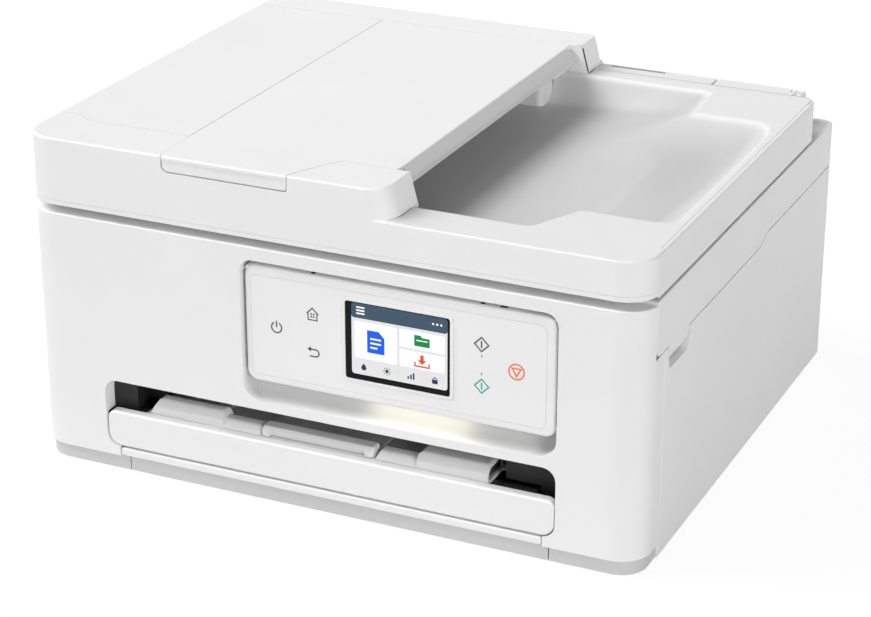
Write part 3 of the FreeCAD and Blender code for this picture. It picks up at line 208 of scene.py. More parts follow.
def add_bump(tree, shader, noise, strength, distance):
    bump = add_node(tree, "ShaderNodeBump", Strength=strength, Distance=distance)
    tree.links.new(noise.outputs["Fac"], bump.inputs["Height"])
    tree.links.new(bump.outputs["Normal"], shader.inputs["Normal"])


def moulded_plastic(name, colour, roughness=0.42, grain=0.04, specular=0.35):
    """Moulded plastic: fine spark-eroded grain, slight mottling and a satin finish."""
    material, tree, shader = start_material(name)
    grain_noise = object_noise(tree, *GRAIN_NOISE)
    broad_noise = object_noise(tree, *MOTTLE_NOISE)
    gloss = vary(tree, grain_noise, roughness - GRAIN_GLOSS, roughness + GRAIN_GLOSS)
    add_bump(tree, shader, grain_noise, grain, GRAIN_HEIGHT)
    tree.links.new(vary_colour(tree, broad_noise, colour, MOTTLE), shader.inputs["Base Color"])
    tree.links.new(gloss, shader.inputs["Roughness"])
    set_inputs(shader, {"Specular IOR Level": specular})
    return material


def own_place(tree):
    """Sockets of the X, Y and Z of a point in the part's own frame, in metres."""
    coordinates = add_node(tree, "ShaderNodeTexCoord")
    split = add_node(tree, "ShaderNodeSeparateXYZ")
    tree.links.new(coordinates.outputs["Object"], split.inputs["Vector"])
    return split.outputs


def calculate(tree, operation, first, second):
    """Socket of the result of an operation on a socket and on a number or another socket."""
    node = add_node(tree, "ShaderNodeMath", operation=operation)
    tree.links.new(first, node.inputs[0])
    if isinstance(second, float):
        node.inputs[1].default_value = second
    else:
        tree.links.new(second, node.inputs[1])
    return node.outputs["Value"]


def grade(tree, socket, start, end):
    """Socket that rises softly from 0 to 1 between two places in millimetres."""
    rise = add_node(tree, "ShaderNodeMapRange", interpolation_type="SMOOTHSTEP")
    set_inputs(rise, {"From Min": start * MM, "From Max": end * MM})
    tree.links.new(socket, rise.inputs["Value"])
    return rise.outputs["Result"]


def mix_second_colour(material, share, second):
    """Mix a second colour into a plastic's own by the share that a socket gives."""
    tree = material.node_tree
    base = tree.nodes["Principled BSDF"].inputs["Base Color"]
    first = base.links[0].from_socket
    mix = add_node(tree, "ShaderNodeMix", data_type="RGBA")
    first_socket, second_socket = [socket for socket in mix.inputs if socket.type == "RGBA"]
    result = [socket for socket in mix.outputs if socket.type == "RGBA"][0]
    tree.links.new(share, mix.inputs["Factor"])
    tree.links.new(first, first_socket)
    second_socket.default_value = list(second) + [1]
    tree.links.new(result, base)


def two_tone_plastic(name, colour, second, axis, limit):
    """Moulded plastic with a second shade beyond a given place on one axis of the part's own frame."""
    material = moulded_plastic(name, colour)
    tree = material.node_tree
    beyond = calculate(tree, "GREATER_THAN", own_place(tree)[axis], limit * MM)
    mix_second_colour(material, beyond, second)
    return material


def shade_painted_plastic(name, colour, second, axis, start, end, **limits):
    """Moulded plastic with painted shade: it turns into a second, shaded colour along one axis, within limits
    on any of the axes.
    """
    material = moulded_plastic(name, colour, roughness=0.5)
    tree = material.node_tree
    place = own_place(tree)
    share = grade(tree, place[axis], start, end)
    for limited, (low, high) in limits.items():
        for operation, limit in (("GREATER_THAN", low), ("LESS_THAN", high)):
            within = calculate(tree, operation, place[limited], limit * MM)
            share = calculate(tree, "MULTIPLY", share, within)
    mix_second_colour(material, share, second)
    return material


def metal(name, colour, roughness, stretch):
    """Rolled or turned metal with fine lines along one direction."""
    material, tree, shader = start_material(name)
    noise = object_noise(tree, *METAL_NOISE, stretch)
    gloss = vary(tree, noise, roughness - METAL_GLOSS, roughness + METAL_GLOSS)
    tree.links.new(vary_colour(tree, noise, colour, METAL_MOTTLE), shader.inputs["Base Color"])
    tree.links.new(gloss, shader.inputs["Roughness"])
    set_inputs(shader, {"Metallic": 1.0})
    return material


def rubber(name):
    material, tree, shader = start_material(name)
    noise = object_noise(tree, *RUBBER_NOISE)
    add_bump(tree, shader, noise, 0.2, RUBBER_HEIGHT)
    tree.links.new(vary_colour(tree, noise, RUBBER_DARK, RUBBER_MOTTLE), shader.inputs["Base Color"])
    tree.links.new(vary(tree, noise, 0.7, 0.9), shader.inputs["Roughness"])
    return material


def circuit_board(name):
    material, tree, shader = start_material(name)
    noise = object_noise(tree, *BOARD_NOISE)
    tree.links.new(vary_colour(tree, noise, BOARD_GREEN, BOARD_MOTTLE), shader.inputs["Base Color"])
    tree.links.new(vary(tree, noise, 0.3, 0.5), shader.inputs["Roughness"])
    return material


def glass(name):
    material, tree, shader = start_material(name)
    noise = object_noise(tree, *GLASS_NOISE)
    tree.links.new(vary(tree, noise, 0.0, 0.03), shader.inputs["Roughness"])
    set_inputs(shader, {"Base Color": GLASS_TINT, "Transmission Weight": 1.0, "IOR": 1.5})
    return material


def lit(name, colour, strength, body):
    """Something that gives light: its colour as emission over a darker body."""
    material, tree, shader = start_material(name)
    noise = object_noise(tree, *LIGHT_NOISE)
    tree.links.new(vary(tree, noise, 0.25, 0.35), shader.inputs["Roughness"])
    tree.links.new(vary_colour(tree, noise, colour, LIGHT_MOTTLE), shader.inputs["Emission Color"])
    unlit = [c * body for c in colour] + [1]
    set_inputs(shader, {"Base Color": unlit, "Emission Strength": strength, "Specular IOR Level": 0.2})
    return material


PLASTICS = {
    "white_shell": {"colour": WHITE, "roughness": 0.5},
    "base_grey": {"colour": BASE_GREY},
    "light_grey": {"colour": LIGHT_GREY},
    "black_plastic": {"colour": BLACK, "roughness": 0.5, "grain": 0.08},
    "cartridge_dark": {"colour": CARTRIDGE_DARK, "roughness": 0.4},
    "seam_grey": {"colour": SEAM_AND_SHADE_GREY, "roughness": 0.6},
    "inner_dark": {"colour": INNER_DARK, "roughness": 0.6},
    "gear_plastic": {"colour": GEAR_IVORY, "roughness": 0.45},
    "roller_dark": {"colour": ROLLER_DARK, "roughness": 0.7, "grain": 0.3},
    "panel_film": {"colour": FILM_WHITE, "roughness": 0.34, "grain": 0.02},
    "display": {"colour": DISPLAY_DARK, "roughness": 0.2, "grain": 0.0, "specular": 0.12},
    "white_pad": {"colour": WHITE, "roughness": 0.8, "grain": 0.2},
}
MATERIALS = {name: moulded_plastic(name, **settings) for name, settings in PLASTICS.items()}
MATERIALS.update({
    "steel": metal("steel", STEEL, roughness=0.35, stretch=(1, 20, 20)),
    "machine_metal": metal("machine_metal", MACHINE_METAL, roughness=0.4, stretch=(20, 1, 20)),
    "rubber": rubber("rubber"),
    "circuit_board": circuit_board("circuit_board"),
    "light_guide": lit("light_guide", GUIDE_LIGHT, strength=3.2, body=0.3),
    "scan_glass": glass("scan_glass"),
})
OWN_FINISHES = {
    "document_tray": two_tone_plastic("tray_white", WHITE, STRIP_GREY, axis="X", limit=30.6),
    # Painted shade: the output tray and its support turn darker where they reach back into the slot
    "output_tray": two_tone_plastic("output_grey", LIGHT_GREY, INNER_PAINTED_SHADE, axis="Y", limit=-152.0),
    "output_support": two_tone_plastic("support_grey", LIGHT_GREY, INNER_PAINTED_SHADE, axis="Y", limit=-155.0),
    "cassette_tub": two_tone_plastic("tub_grey", BASE_GREY, BLACK, axis="Y", limit=-164.0),
    "cassette_front": two_tone_plastic("fascia_white", WHITE, INNER_DARK, axis="Y", limit=-168.0),
    # Painted shade: the scoop under the operation panel darkens towards its back
    "front_cover": shade_painted_plastic("front_white_painted_shade", WHITE, SCOOP_PAINTED_SHADE, "Y", *SCOOP_SHADE_DEPTH, **SCOOP_SHADE_ZONE),
    # Painted shade: the lid's flat tops beside the hollow turn darker towards their upper faces
    "lid_base": shade_painted_plastic("lid_white_painted_shade", WHITE, RIM_PAINTED_SHADE, "Z", *LID_EDGE, **LID_FLATS),
    "lid_front": shade_painted_plastic("rail_white_painted_shade", WHITE, RIM_PAINTED_SHADE, "Z", *LID_EDGE, **LID_FLATS),
}
KEY_INKS = {ink: moulded_plastic("key_" + ink, colour, roughness=0.5) for ink, colour in KEY_COLOURS.items()}
SCREEN_LIGHTS = {tone: lit("screen_" + tone, colour, strength=1.0, body=0.02)
                 for tone, colour in SCREEN_COLOURS.items()}


def dress_frame():
    for name, obj in NODES.items():
        obj.data.materials.clear()
        obj.data.materials.append(OWN_FINISHES.get(name) or MATERIALS[SLOT_OF[name]])


def add_piece(name, bm, material, body):
    mesh = bpy.data.meshes.new(name)
    bm.to_mesh(mesh)
    bm.free()
    mesh.materials.append(material)
    piece = bpy.data.objects.new(name, mesh)
    bpy.context.collection.objects.link(piece)
    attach(piece, body)
    return piece


# The hollow of the lid that scanned sheets come out into, in millimetres: its outline, and its plain floor
# and raised rear end under the feeder

HOLLOW_PITCH = 1.5
HOLLOW_LEFT = 42.7
HOLLOW_UNDER = HOLLOW_BOX[0][2] / MM
HOLLOW_RIGHT = HOLLOW_BOX[1][0] / MM
HOLLOW_FRONT = HOLLOW_BOX[0][1] / MM
HOLLOW_BACK = HOLLOW_BOX[1][1] / MM
HOLLOW_FLOOR = 165.5
HOLLOW_CORNER = 6.2
HOLLOW_SHADING = 3.5
POST_RIGHT = 21.9
UNDER_FEEDER_LEFT = HOLLOW_BOX[0][0] / MM
UNDER_FEEDER_FRONT = -138.0
UNDER_FEEDER_BACK = 109.4
UNDER_FEEDER_RISE = 84.0

# Its long part: edges with the widths of their banks, the floor's rise and its fading out to the right, and
# the two slanting ends, each with the stretch over which it takes hold
LONG_FRONT, LONG_FRONT_BANK = -146.0, 3.5
LONG_BACK, LONG_BACK_BANK = 107.5, 16.0
LONG_RISE, LONG_RISE_X = 5.5, (45, 130)
LONG_FADE_X = (120, 155)
FRONT_END, FRONT_END_BANK, FRONT_END_Y = ((112.5, -144.0), (125.9, -115.0)), 14.0, (-60.0, -90.0)
REAR_END, REAR_END_BANK, REAR_END_Y = ((128.5, 66.0), (125.0, 103.0)), 8.0, (0.0, 40.0)
REAR_END_WIDENING, REAR_END_FIRM_Y = 0.85, 104.0

# Its wide part: depth, the floor's fall to the back, its deeper pocket, and edges with their banks' widths
WIDE_DEPTH = 10
WIDE_FALL, WIDE_FALL_Y = 1.5, (-100, -10)
WIDE_POCKET, WIDE_POCKET_X, WIDE_POCKET_Y = 4.5, (115, 155), (-80, 10)
WIDE_RIGHT, WIDE_RIGHT_BANK = 180.0, 20.0
WIDE_FRONT, WIDE_FRONT_BANK = -113.0, 11.0
WIDE_BACK, WIDE_BACK_BANK = 66.0, 46.0
WIDE_SQUARENESS = 3.5

BANK_POWER = 2.2
BLEND_DEPTH = 3.0
BLEND_SHARE = 0.25


def ramp_up(value, start, end):
    """Soft rise from 0 at the start to 1 at the end."""
    t = min(max((value - start) / (end - start), 0.0), 1.0)
    return t * t * (3 - 2 * t)


def bank(distance, width):
    """Share of the full depth at a distance inside an edge: a firm upper edge and a soft foot."""
    t = min(max(distance / width, 0.0), 1.0)
    return 1 - (1 - t) ** BANK_POWER


def beside(x, y, start, end):
    """Distance to the left of the line from start to end, seen from above."""
    (x0, y0), (x1, y1) = start, end
    length = math.hypot(x1 - x0, y1 - y0)
    return ((x1 - x0) * (y - y0) - (y1 - y0) * (x - x0)) / length


def long_part(x, y):
    """Depth of the long part under the feeder, which rises to the right and ends in slanting banks."""
    depth = LID_TOP - HOLLOW_FLOOR - LONG_RISE * ramp_up(x, *LONG_RISE_X)
    edges = bank(y - LONG_FRONT, LONG_FRONT_BANK) * bank(LONG_BACK - y, LONG_BACK_BANK)
    depth *= edges * (1 - ramp_up(x, *LONG_FADE_X))
    rear_width = REAR_END_BANK + REAR_END_WIDENING * max(REAR_END_FIRM_Y - y, 0.0)
    front_end = bank(beside(x, y, *FRONT_END), FRONT_END_BANK)
    rear_end = bank(beside(x, y, *REAR_END), rear_width)
    front_share, rear_share = ramp_up(y, *FRONT_END_Y), ramp_up(y, *REAR_END_Y)
    return depth * (1 - front_share * (1 - front_end)) * (1 - rear_share * (1 - rear_end))


def wide_part(x, y):
    """Depth of the wide part on the right, deepest towards the back and with rounded corners."""
    pocket = WIDE_POCKET * ramp_up(x, *WIDE_POCKET_X) * ramp_up(y, *WIDE_POCKET_Y)
    depth = WIDE_DEPTH + WIDE_FALL * ramp_up(y, *WIDE_FALL_Y) + pocket
    across = max(1 - (WIDE_RIGHT - x) / WIDE_RIGHT_BANK, 0.0)
    along = max(1 - (y - WIDE_FRONT) / WIDE_FRONT_BANK, 1 - (WIDE_BACK - y) / WIDE_BACK_BANK, 0.0)
    outwards = (across ** WIDE_SQUARENESS + along ** WIDE_SQUARENESS) ** (1 / WIDE_SQUARENESS)
    return depth * bank(1 - outwards, 1.0)


def hollow_depth(x, y):
    """Depth of the deeper of the two parts, with a soft valley where they meet."""
    first, second = long_part(x, y), wide_part(x, y)
    blend = min(BLEND_DEPTH, first, second)
    depth = max(first, second)
    if blend > 0:
        depth += BLEND_SHARE * blend * max(1 - abs(first - second) / blend, 0.0) ** 2
    return depth


def rounded_corner(x, y):
    """Move a point of the square rear right corner onto the rounded one."""
    u = (x - (HOLLOW_RIGHT - HOLLOW_CORNER)) / HOLLOW_CORNER
    v = (y - (HOLLOW_BACK - HOLLOW_CORNER)) / HOLLOW_CORNER
    if u <= 0 or v <= 0:
        return x, y
    scale = max(u, v) / math.hypot(u, v)
    return x + (scale - 1) * u * HOLLOW_CORNER, y + (scale - 1) * v * HOLLOW_CORNER


def steps(low, high):
    count = round((high - low) / HOLLOW_PITCH)
    return [low + (high - low) * i / count for i in range(count + 1)]


def add_box(bm, low, high):
    for vert in bmesh.ops.create_cube(bm, size=1.0)["verts"]:
        vert.co = [(start + (end - start) * (c + 0.5)) * MM for start, end, c in zip(low, high, vert.co)]


def add_field(bm, left, right, front, back):
    """A closed slab with the hollow's height on top."""
    columns, rows = steps(left, right), steps(front, back)
    top, under = [], []
    for x in columns:
        places = [rounded_corner(x, y) for y in rows]
        top.append([bm.verts.new((u * MM, v * MM, (LID_TOP - hollow_depth(u, v)) * MM)) for u, v in places])
        under.append([bm.verts.new((u * MM, v * MM, HOLLOW_UNDER * MM)) for u, v in places])
    across, along = len(columns) - 1, len(rows) - 1
    for i in range(across):
        for j in range(along):
            bm.faces.new((top[i][j], top[i + 1][j], top[i + 1][j + 1], top[i][j + 1])).smooth = True
    rim = [(i, 0) for i in range(across)] + [(across, j) for j in range(along)]
    rim += [(i, along) for i in range(across, 0, -1)] + [(0, j) for j in range(along, 0, -1)]
    bm.faces.new([under[i][j] for i, j in rim[::-1]])
    for (i, j), (m, n) in zip(rim, rim[1:] + rim[:1]):
        bm.faces.new((top[m][n], top[i][j], under[i][j], under[m][n]))
        bm.edges.get((top[i][j], top[m][n])).smooth = False
    inner = [under[i][j] for i in range(1, across) for j in range(1, along)]
    bmesh.ops.delete(bm, geom=inner, context="VERTS")


def add_hollow():
    bm = bmesh.new()
    add_field(bm, HOLLOW_LEFT, HOLLOW_RIGHT, HOLLOW_FRONT, HOLLOW_BACK)
    add_field(bm, POST_RIGHT, HOLLOW_LEFT, UNDER_FEEDER_RISE, UNDER_FEEDER_BACK)
    for left, right, back in ((UNDER_FEEDER_LEFT, POST_RIGHT, UNDER_FEEDER_BACK),
                              (POST_RIGHT, HOLLOW_LEFT, UNDER_FEEDER_RISE)):
        add_box(bm, (left, UNDER_FEEDER_FRONT, HOLLOW_UNDER), (right, back, HOLLOW_FLOOR))
    # Painted shade: the hollow is a darker grey than the lid, fading to the flat tops' shaded colour near its
    # upper edge
    shaded = (LID_TOP - HOLLOW_SHADING, LID_EDGE[1])
    hollow_shade = shade_painted_plastic("hollow_painted_shade", HOLLOW_PAINTED_SHADE, RIM_PAINTED_SHADE, "Z", *shaded)
    piece = add_piece("paper_hollow", bm, hollow_shade, "document_lid")
    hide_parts("document_output_tray")


# Flat marks: outlines on a face in millimetres, raised a little from it

LINE = 0.85
FILM_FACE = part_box("panel_film")[0][1] / MM
SCREEN_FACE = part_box("lcd_module")[0][1] / MM
PANEL_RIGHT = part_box("panel_shell")[1][0] / MM
PANEL_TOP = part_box("panel_shell")[1][2] / MM
HINGE_STRIP_TOP = LID_TOP - 0.32
LIP_INSIDE = 94.6
SEAM_HOLE_BOTTOM = 187.3
BAR_END_RIGHT, BAR_END_TOP, BAR_END_LEAN = 37.85, 200.0, 0.27

# Heights of the marks above their faces; the screen's lie over each other
KEY_HEIGHT = 0.04
SEAM_HEIGHT = 0.05
FOOT_SEAM_HEIGHT = 0.02
HINGE_SLOT_HEIGHT = 0.04
LIP_SHADE_HEIGHT = 0.5
SEAM_DOT_HEIGHT = 0.1
GROUND_HEIGHT, CARD_HEIGHT, SIGN_HEIGHT, FINE_HEIGHT = 0.03, 0.05, 0.07, 0.09


def disc(x, z, radius, count=32):
    turn = 2 * math.pi / count
    return [(x + radius * math.cos(turn * i), z + radius * math.sin(turn * i)) for i in range(count)]


def arc(x, z, radius, start, end, count=24):
    angles = [math.radians(start + (end - start) * i / count) for i in range(count + 1)]
    return [(x + radius * math.cos(a), z + radius * math.sin(a)) for a in angles]


def rectangle(x0, x1, z0, z1):
    return [(x0, z0), (x1, z0), (x1, z1), (x0, z1)]


def rounded(x0, x1, z0, z1, radius):
    corners = ((x1, z1, 0), (x0, z1, 90), (x0, z0, 180), (x1, z0, 270))
    middle = ((x0 + x1) / 2, (z0 + z1) / 2)
    points = []
    for x, z, start in corners:
        cx = x + math.copysign(radius, middle[0] - x)
        cz = z + math.copysign(radius, middle[1] - z)
        points += arc(cx, cz, radius, start, start + 90, 6)
    return points


def stroke(points, width, closed=False):
    """Outlines of a line of some width through the points, one for each of its runs."""
    if closed:
        points = points + points[:1]
    sides = []
    last = len(points) - 1
    for i, (x, z) in enumerate(points):
        before = points[i - 1] if i else (points[last - 1] if closed else None)
        after = points[i + 1] if i < last else (points[1] if closed else None)
        ways = []
        for a, b in ((before, (x, z)), ((x, z), after)):
            if a and b:
                length = math.hypot(b[0] - a[0], b[1] - a[1])
                ways.append(((a[1] - b[1]) / length, (b[0] - a[0]) / length))
        normal = [sum(way[k] for way in ways) / len(ways) for k in (0, 1)]
        reach = 0.5 * width / (normal[0] ** 2 + normal[1] ** 2)
        sides.append([(x + s * reach * normal[0], z + s * reach * normal[1]) for s in (1, -1)])
    return [[a, b, d, c] for (a, b), (c, d) in zip(sides, sides[1:])]


def on_face(axis, level, way=1):
    """Place on a flat face that stands at a level on one axis; way is the sign of its outward direction."""
    def place(u, v, height):
        point = [u * MM, v * MM]
        point.insert(axis, (level + way * height) * MM)
        return point
    return place


def on_bar_end(y, z, height):
    """Place on the leaning right end of the feeder's rear bar."""
    return (BAR_END_RIGHT + BAR_END_LEAN * (BAR_END_TOP - z) + height) * MM, y * MM, z * MM


ON_FILM = on_face(1, FILM_FACE, -1)
ON_SCREEN = on_face(1, SCREEN_FACE, -1)
ON_PANEL_SIDE = on_face(0, PANEL_RIGHT)
ON_PANEL_TOP = on_face(2, PANEL_TOP)
ON_LID = on_face(2, LID_TOP)
ON_HINGE_STRIP = on_face(2, HINGE_STRIP_TOP)
IN_LIP = on_face(0, LIP_INSIDE)
IN_SEAM_HOLES = {"left": on_face(0, -SEAM_HOLE_BOTTOM, -1), "right": on_face(0, SEAM_HOLE_BOTTOM)}


def add_marks(name, outlines, place, height, material, body):
    """Thin raised shapes on a face; place gives the point at (u, v) on the face and a height above it."""
    bm = bmesh.new()
    for outline in outlines:
        front = [bm.verts.new(place(u, v, height)) for u, v in outline]
        back = [bm.verts.new(place(u, v, 0.0)) for u, v in outline]
        bm.faces.new(front)
        bm.faces.new(back[::-1])
        for i in range(len(outline)):
            j = (i + 1) % len(outline)
            bm.faces.new((front[j], front[i], back[i], back[j]))
    bmesh.ops.recalc_face_normals(bm, faces=bm.faces)
    add_piece(name, bm, material, body)


# Signs of the touch keys

def diamond_mark(x, z, half):
    rim = [(x + half, z), (x, z + half), (x - half, z), (x, z - half)]
    return stroke(rim, LINE, True) + stroke([(x, z - 0.52 * half), (x, z + 0.52 * half)], LINE)


def power_mark(x, z, radius):
    return stroke(arc(x, z, radius, 120, 420), LINE) + stroke([(x, z + 0.15), (x, z + radius + 0.9)], LINE)


def home_mark(x, z):
    wall = [(x - 2.7, z + 0.6), (x - 2.7, z - 3.4), (x + 2.7, z - 3.4), (x + 2.7, z + 0.6)]
    roof = [(x - 3.5, z + 0.2), (x, z + 3.6), (x + 3.5, z + 0.2)]
    panes = [rounded(x + dx - 0.5, x + dx + 0.5, z + dz - 0.5, z + dz + 0.5, 0.1)
             for dx in (-0.75, 0.75) for dz in (-1.5, 0.0)]
    return stroke(wall, 0.72) + stroke(roof, 0.8) + panes


def back_mark(x, z):
    tail = [(x - 3.0, z + 1.8)] + arc(x + 1.0, z - 0.3, 2.1, 90, -90, 14) + [(x - 2.6, z - 2.4)]
    return stroke(tail, LINE) + [[(x - 4.0, z + 1.8), (x - 1.9, z + 0.3), (x - 1.9, z + 3.3)]]


def stop_mark(x, z, radius):
    half = 0.52 * radius
    triangle = [(x - 1.12 * half, z + 0.8 * half), (x, z - 1.16 * half), (x + 1.12 * half, z + 0.8 * half)]
    return stroke(disc(x, z, radius), LINE, True) + stroke(triangle, LINE, True)


def add_keys():
    grey = power_mark(-28.7, 109.4, 3.1) + home_mark(-6.3, 121.2) + back_mark(-5.8, 98.4)
    grey += diamond_mark(94.6, 121.8, 4.1)
    grey += [dash for z in (115.2, 104.6) for dash in stroke([(94.7, z - 0.7), (94.7, z + 0.7)], 0.5)]
    inks = {"grey": grey, "teal": diamond_mark(94.8, 97.5, 4.1), "orange": stop_mark(114.9, 109.6, 4.4)}
    for ink, outlines in inks.items():
        add_marks("key_marks_" + ink, outlines, ON_FILM, KEY_HEIGHT, KEY_INKS[ink], "operation_panel")


# The screen's start page: its lit area, the height of its band and the line of its small signs

LIT_AREA = (17.6, 74.8, 90.9, 132.8)
BAND = 8.6
SMALL_SIGNS = 95.6


def sheet_sign(x, z):
    """A page with a folded corner; its lines of writing are a separate shape."""
    page = [(x - 5.2, z - 6.6), (x + 5.2, z - 6.6), (x + 5.2, z + 3.0), (x + 1.8, z + 6.6),
            (x - 5.2, z + 6.6)]
    lines = [rounded(x - 3.4, x + reach, z + dz - 0.5, z + dz + 0.5, 0.2)
             for dz, reach in ((1.8, 3.2), (-0.8, 3.2), (-3.4, 1.0))]
    return [page], lines


def folder_sign(x, z):
    """A folder; its label is a separate shape."""
    body = [(x - 4.6, z - 3.2), (x + 4.6, z - 3.2), (x + 4.6, z + 2.0), (x + 0.2, z + 2.0),
            (x - 0.8, z + 3.2), (x - 4.6, z + 3.2)]
    return [body], [rounded(x - 3.4, x + 3.4, z - 0.1, z + 0.5, 0.1)]


def arrow_sign(x, z):
    arrow = [(x - 1.0, z + 3.6), (x - 1.0, z + 0.6), (x - 2.6, z + 0.6), (x, z - 2.0), (x + 2.6, z + 0.6),
             (x + 1.0, z + 0.6), (x + 1.0, z + 3.6)]
    tray = stroke([(x - 4.2, z - 0.8), (x - 4.2, z - 3.2), (x + 4.2, z - 3.2), (x + 4.2, z - 0.8)], 0.9)
    return [arrow] + tray


def drop_sign(x, z):
    return [[(x, z + 2.2)] + arc(x, z - 0.5, 1.55, 395, 145, 16)[::-1]]


def sun_sign(x, z):
    rays = []
    for i in range(8):
        a = math.pi * i / 4
        tips = [(x + r * math.cos(a), z + r * math.sin(a)) for r in (1.5, 2.3)]
        rays += stroke(tips, 0.5)
    return [disc(x, z, 1.05, 16)] + rays


def bars_sign(x, z):
    return [rounded(x + dx - 0.5, x + dx + 0.5, z - 1.9, z - 1.9 + high, 0.1)
            for dx, high in ((-1.6, 1.6), (0.0, 2.7), (1.6, 3.8))]


def lock_sign(x, z):
    shackle = stroke(arc(x, z + 0.6, 1.05, 0, 180, 12), 0.55)
    return [rounded(x - 1.7, x + 1.7, z - 2.0, z + 0.5, 0.3)] + shackle


def add_screen():
    """A generic start page, with signs and a layout of its own."""
    x0, x1, z0, z1 = LIT_AREA
    band, low = z1 - BAND, SMALL_SIGNS
    cards = [rounded(x0 + 1.8, 44.8, 100.6, band - 1.8, 0.8),
             rounded(46.4, x1 - 1.6, 112.0, band - 1.8, 0.8),
             rounded(46.4, x1 - 1.6, 100.6, 110.6, 0.8)]
    page, lines = sheet_sign(32.2, 111.4)
    folder, label = folder_sign(59.8, 117.2)
    menu = [rounded(x0 + 3.0, x0 + 8.0, band + dz, band + dz + 0.9, 0.2) for dz in (2.3, 4.1, 5.9)]
    dots = [disc(x1 - 3.6 - 2.4 * i, band + 4.5, 0.65, 14) for i in range(3)]
    signs = drop_sign(24.8, low) + sun_sign(38.8, low) + bars_sign(53.2, low) + lock_sign(67.4, low)
    rules = [rounded(x - 0.12, x + 0.12, low - 1.8, low + 1.8, 0.05) for x in (31.8, 46.0, 60.4)]
    lights = SCREEN_LIGHTS
    layers = {
        "ground": ([rounded(x0, x1, z0, z1, 1.6)], GROUND_HEIGHT, lights["ground"]),
        "slate": ([rounded(x0, x1, band, z1, 1.5)], CARD_HEIGHT, lights["slate"]),
        "white": (cards, CARD_HEIGHT, lights["white"]),
        "blue": (page, SIGN_HEIGHT, lights["blue"]),
        "green": (folder, SIGN_HEIGHT, lights["green"]),
        "red": (arrow_sign(59.8, 105.4), SIGN_HEIGHT, lights["red"]),
        "navy": (signs, CARD_HEIGHT, lights["navy"]),
        "fine": (lines + label + menu + dots, FINE_HEIGHT, lights["white"]),
        "rules": (rules, CARD_HEIGHT, MATERIALS["light_grey"]),
    }
    for name, (outlines, height, material) in layers.items():
        add_marks("screen_" + name, outlines, ON_SCREEN, height, material, "operation_panel")


# Dark joints, and painted shade in gaps

def add_lid_joints_and_shade():
    """Dark joints on the lid round the raised feeder's feet, and painted shade behind the hollow and in the
    hinge cover's slot.
    """
    front_foot = [(42.8, -148.6), (42.8, -158.0)] + arc(29.6, -160.0, 13.2, 0, -66, 12)
    feet = stroke(front_foot, 0.5) + stroke([(43.0, 111.0), (43.0, 121.5)], 0.6)
    rear_edge = [(46.0, 121.1), (178.0, 121.1)] + arc(178.0, 114.0, 7.1, 84, 0, 10) + [(185.1, 108.0)]
    edge = stroke(rear_edge, 0.4)
    groove = [rectangle(110.4, 112.4, 183.4, 198.4)]
    slot = stroke([(50.2, 132.4), (85.8, 132.4)], 1.9)
    black, grey = MATERIALS["black_plastic"], MATERIALS["seam_grey"]
    add_marks("feeder_foot_seam", feet, ON_LID, FOOT_SEAM_HEIGHT, black, "document_lid")
    # Painted shade: a shadow line along the gap behind the hollow
    add_marks("rear_edge_shadow_line", edge, ON_LID, SEAM_HEIGHT, grey, "document_lid")
    add_marks("rear_bar_groove", groove, on_bar_end, SEAM_HEIGHT, black, "document_lid")
    # Painted shade: the shaded floor of the hinge cover's slot, drawn as a flat strip
    add_marks("hinge_cover_slot_shade", slot, ON_HINGE_STRIP, HINGE_SLOT_HEIGHT, grey, "document_lid")


def add_hinge_marks():
    """Dark gaps over the panel's hinges, on its upper side."""
    gaps = [rectangle(x - half, x + half, -169.8, -167.6)
            for x, half in ((-7.1, 1.3), (93.7, 1.3), (105.9, 2.2))]
    add_marks("panel_hinge_gaps", gaps, ON_PANEL_TOP, SEAM_HEIGHT, MATERIALS["black_plastic"],
              "operation_panel")


def add_panel_side_shade():
    """Painted shade in the gap beside the operation panel: a dark strip along the panel's right side, set
    back from its face.
    """
    strip = rectangle(-170.9, -167.6, 81.0, 139.0)
    add_marks("panel_side_painted_shade", [strip], ON_PANEL_SIDE, SEAM_HEIGHT, MATERIALS["inner_dark"],
              "operation_panel")


def add_lip_shade():
    """Painted shade: a dark plate inside the output tray's right lip, seen through its open end."""
    inside = [(-165.0, 38.4), (-164.6, 41.6), (-162.1, 44.3), (-147.2, 44.3), (-145.7, 38.4)]
    add_marks("lip_end_shade", [inside], IN_LIP, LIP_SHADE_HEIGHT, MATERIALS["inner_dark"], "cassette")


def add_seam_dots():
    """Dark bottoms of the small holes at the front ends of the side seams, one on each side of the case."""
    for side, place in IN_SEAM_HOLES.items():
        dot = disc(-157.0, 125.1, 1.4, 20)
        add_marks("seam_dot_" + side, [dot], place, SEAM_DOT_HEIGHT, MATERIALS["black_plastic"],
                  "printer_body")


# Stage

def soft_lamp(name, azimuth, elevation, spread, strength):
    """A wide lamp far away."""
    data = bpy.data.lights.new(name, "SUN")
    data.energy = strength
    data.angle = math.radians(spread)
    turn, rise = math.radians(azimuth), math.radians(elevation)
    towards = Vector((math.sin(turn) * math.cos(rise), -math.cos(turn) * math.cos(rise), math.sin(rise)))
    lamp = bpy.data.objects.new(name, data)
    lamp.rotation_euler = towards.to_track_quat("Z", "Y").to_euler()
    bpy.context.collection.objects.link(lamp)


def add_camera():
    data = bpy.data.cameras.new("camera")
    data.sensor_fit = "HORIZONTAL"
    data.sensor_width = SENSOR_WIDTH
    data.lens = CAMERA_LENS
    data.clip_start = CAMERA_NEAR
    camera = bpy.data.objects.new("camera", data)
    camera.location = [c * MM for c in CAMERA_PLACE]
    camera.rotation_euler = (math.radians(90 - CAMERA_ELEVATION), 0, math.radians(CAMERA_AZIMUTH))
    bpy.context.collection.objects.link(camera)
    bpy.context.scene.camera = camera


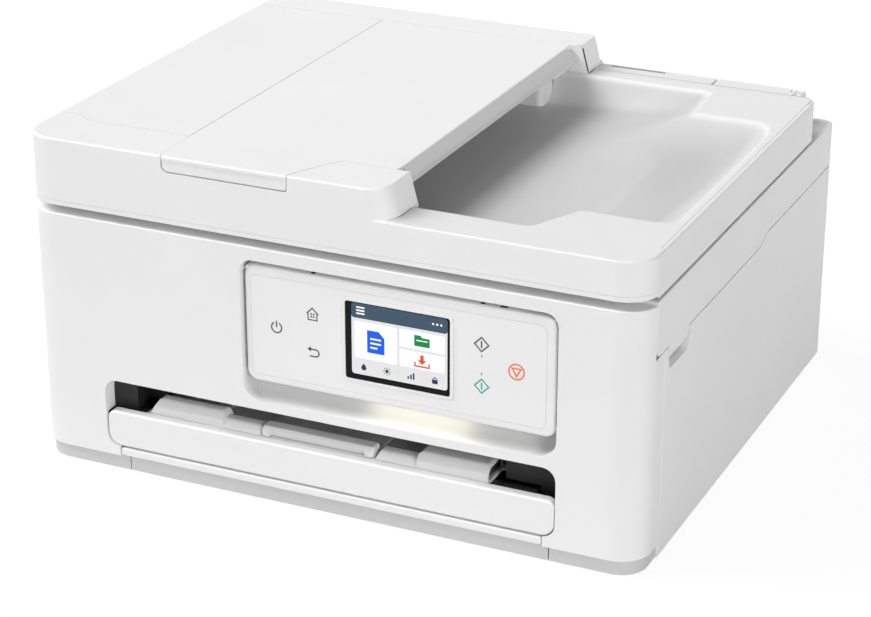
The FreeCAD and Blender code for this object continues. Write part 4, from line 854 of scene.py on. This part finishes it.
def camera_white(tree, dim, bright, output):
    """Show the bright shader to the camera, in reflections and through glass; the dim one lights the part."""
    path = add_node(tree, "ShaderNodeLightPath")
    seen = path.outputs["Is Camera Ray"]
    for kind in ("Is Glossy Ray", "Is Transmission Ray"):
        seen = calculate(tree, "MAXIMUM", seen, path.outputs[kind])
    mix = add_node(tree, "ShaderNodeMixShader")
    tree.links.new(seen, mix.inputs["Fac"])
    tree.links.new(dim, mix.inputs[1])
    tree.links.new(bright, mix.inputs[2])
    tree.links.new(mix.outputs["Shader"], output)


def add_world():
    world = bpy.data.worlds.new("studio")
    world.use_nodes = True
    bpy.context.scene.world = world
    tree = world.node_tree
    ambient = tree.nodes["Background"]
    set_inputs(ambient, {"Color": FULL_WHITE, "Strength": AMBIENT})
    bright = add_node(tree, "ShaderNodeBackground", Color=FULL_WHITE, Strength=1.0)
    camera_white(tree, ambient.outputs[0], bright.outputs[0], tree.nodes["World Output"].inputs["Surface"])


def add_floor():
    """A pale floor; the camera sees a glow over a dark ground, which keeps the part's shadow."""
    bpy.ops.mesh.primitive_plane_add(size=FLOOR_SIZE)
    floor = bpy.context.object
    floor.name = "floor"
    material, tree, shader = start_material("floor")
    tree.nodes.remove(shader)
    plain = add_node(tree, "ShaderNodeBsdfDiffuse", Color=FLOOR_COLOUR)
    shaded = add_node(tree, "ShaderNodeBsdfDiffuse", Color=[SHADOW_SHARE] * 3 + [1])
    glow = add_node(tree, "ShaderNodeEmission", Color=FULL_WHITE, Strength=FLOOR_GLOW)
    both = add_node(tree, "ShaderNodeAddShader")
    tree.links.new(shaded.outputs[0], both.inputs[0])
    tree.links.new(glow.outputs[0], both.inputs[1])
    output = tree.nodes["Material Output"].inputs["Surface"]
    camera_white(tree, plain.outputs[0], both.outputs[0], output)
    floor.data.materials.append(material)


def add_stage():
    bpy.context.scene.view_settings.view_transform = "Standard"
    add_camera()
    add_world()
    add_floor()
    for name, settings in LAMPS.items():
        soft_lamp(name, *settings)


dress_frame()
add_hollow()
add_lid_joints_and_shade()
add_hinge_marks()
add_panel_side_shade()
add_lip_shade()
add_seam_dots()
add_keys()
add_screen()
add_stage()
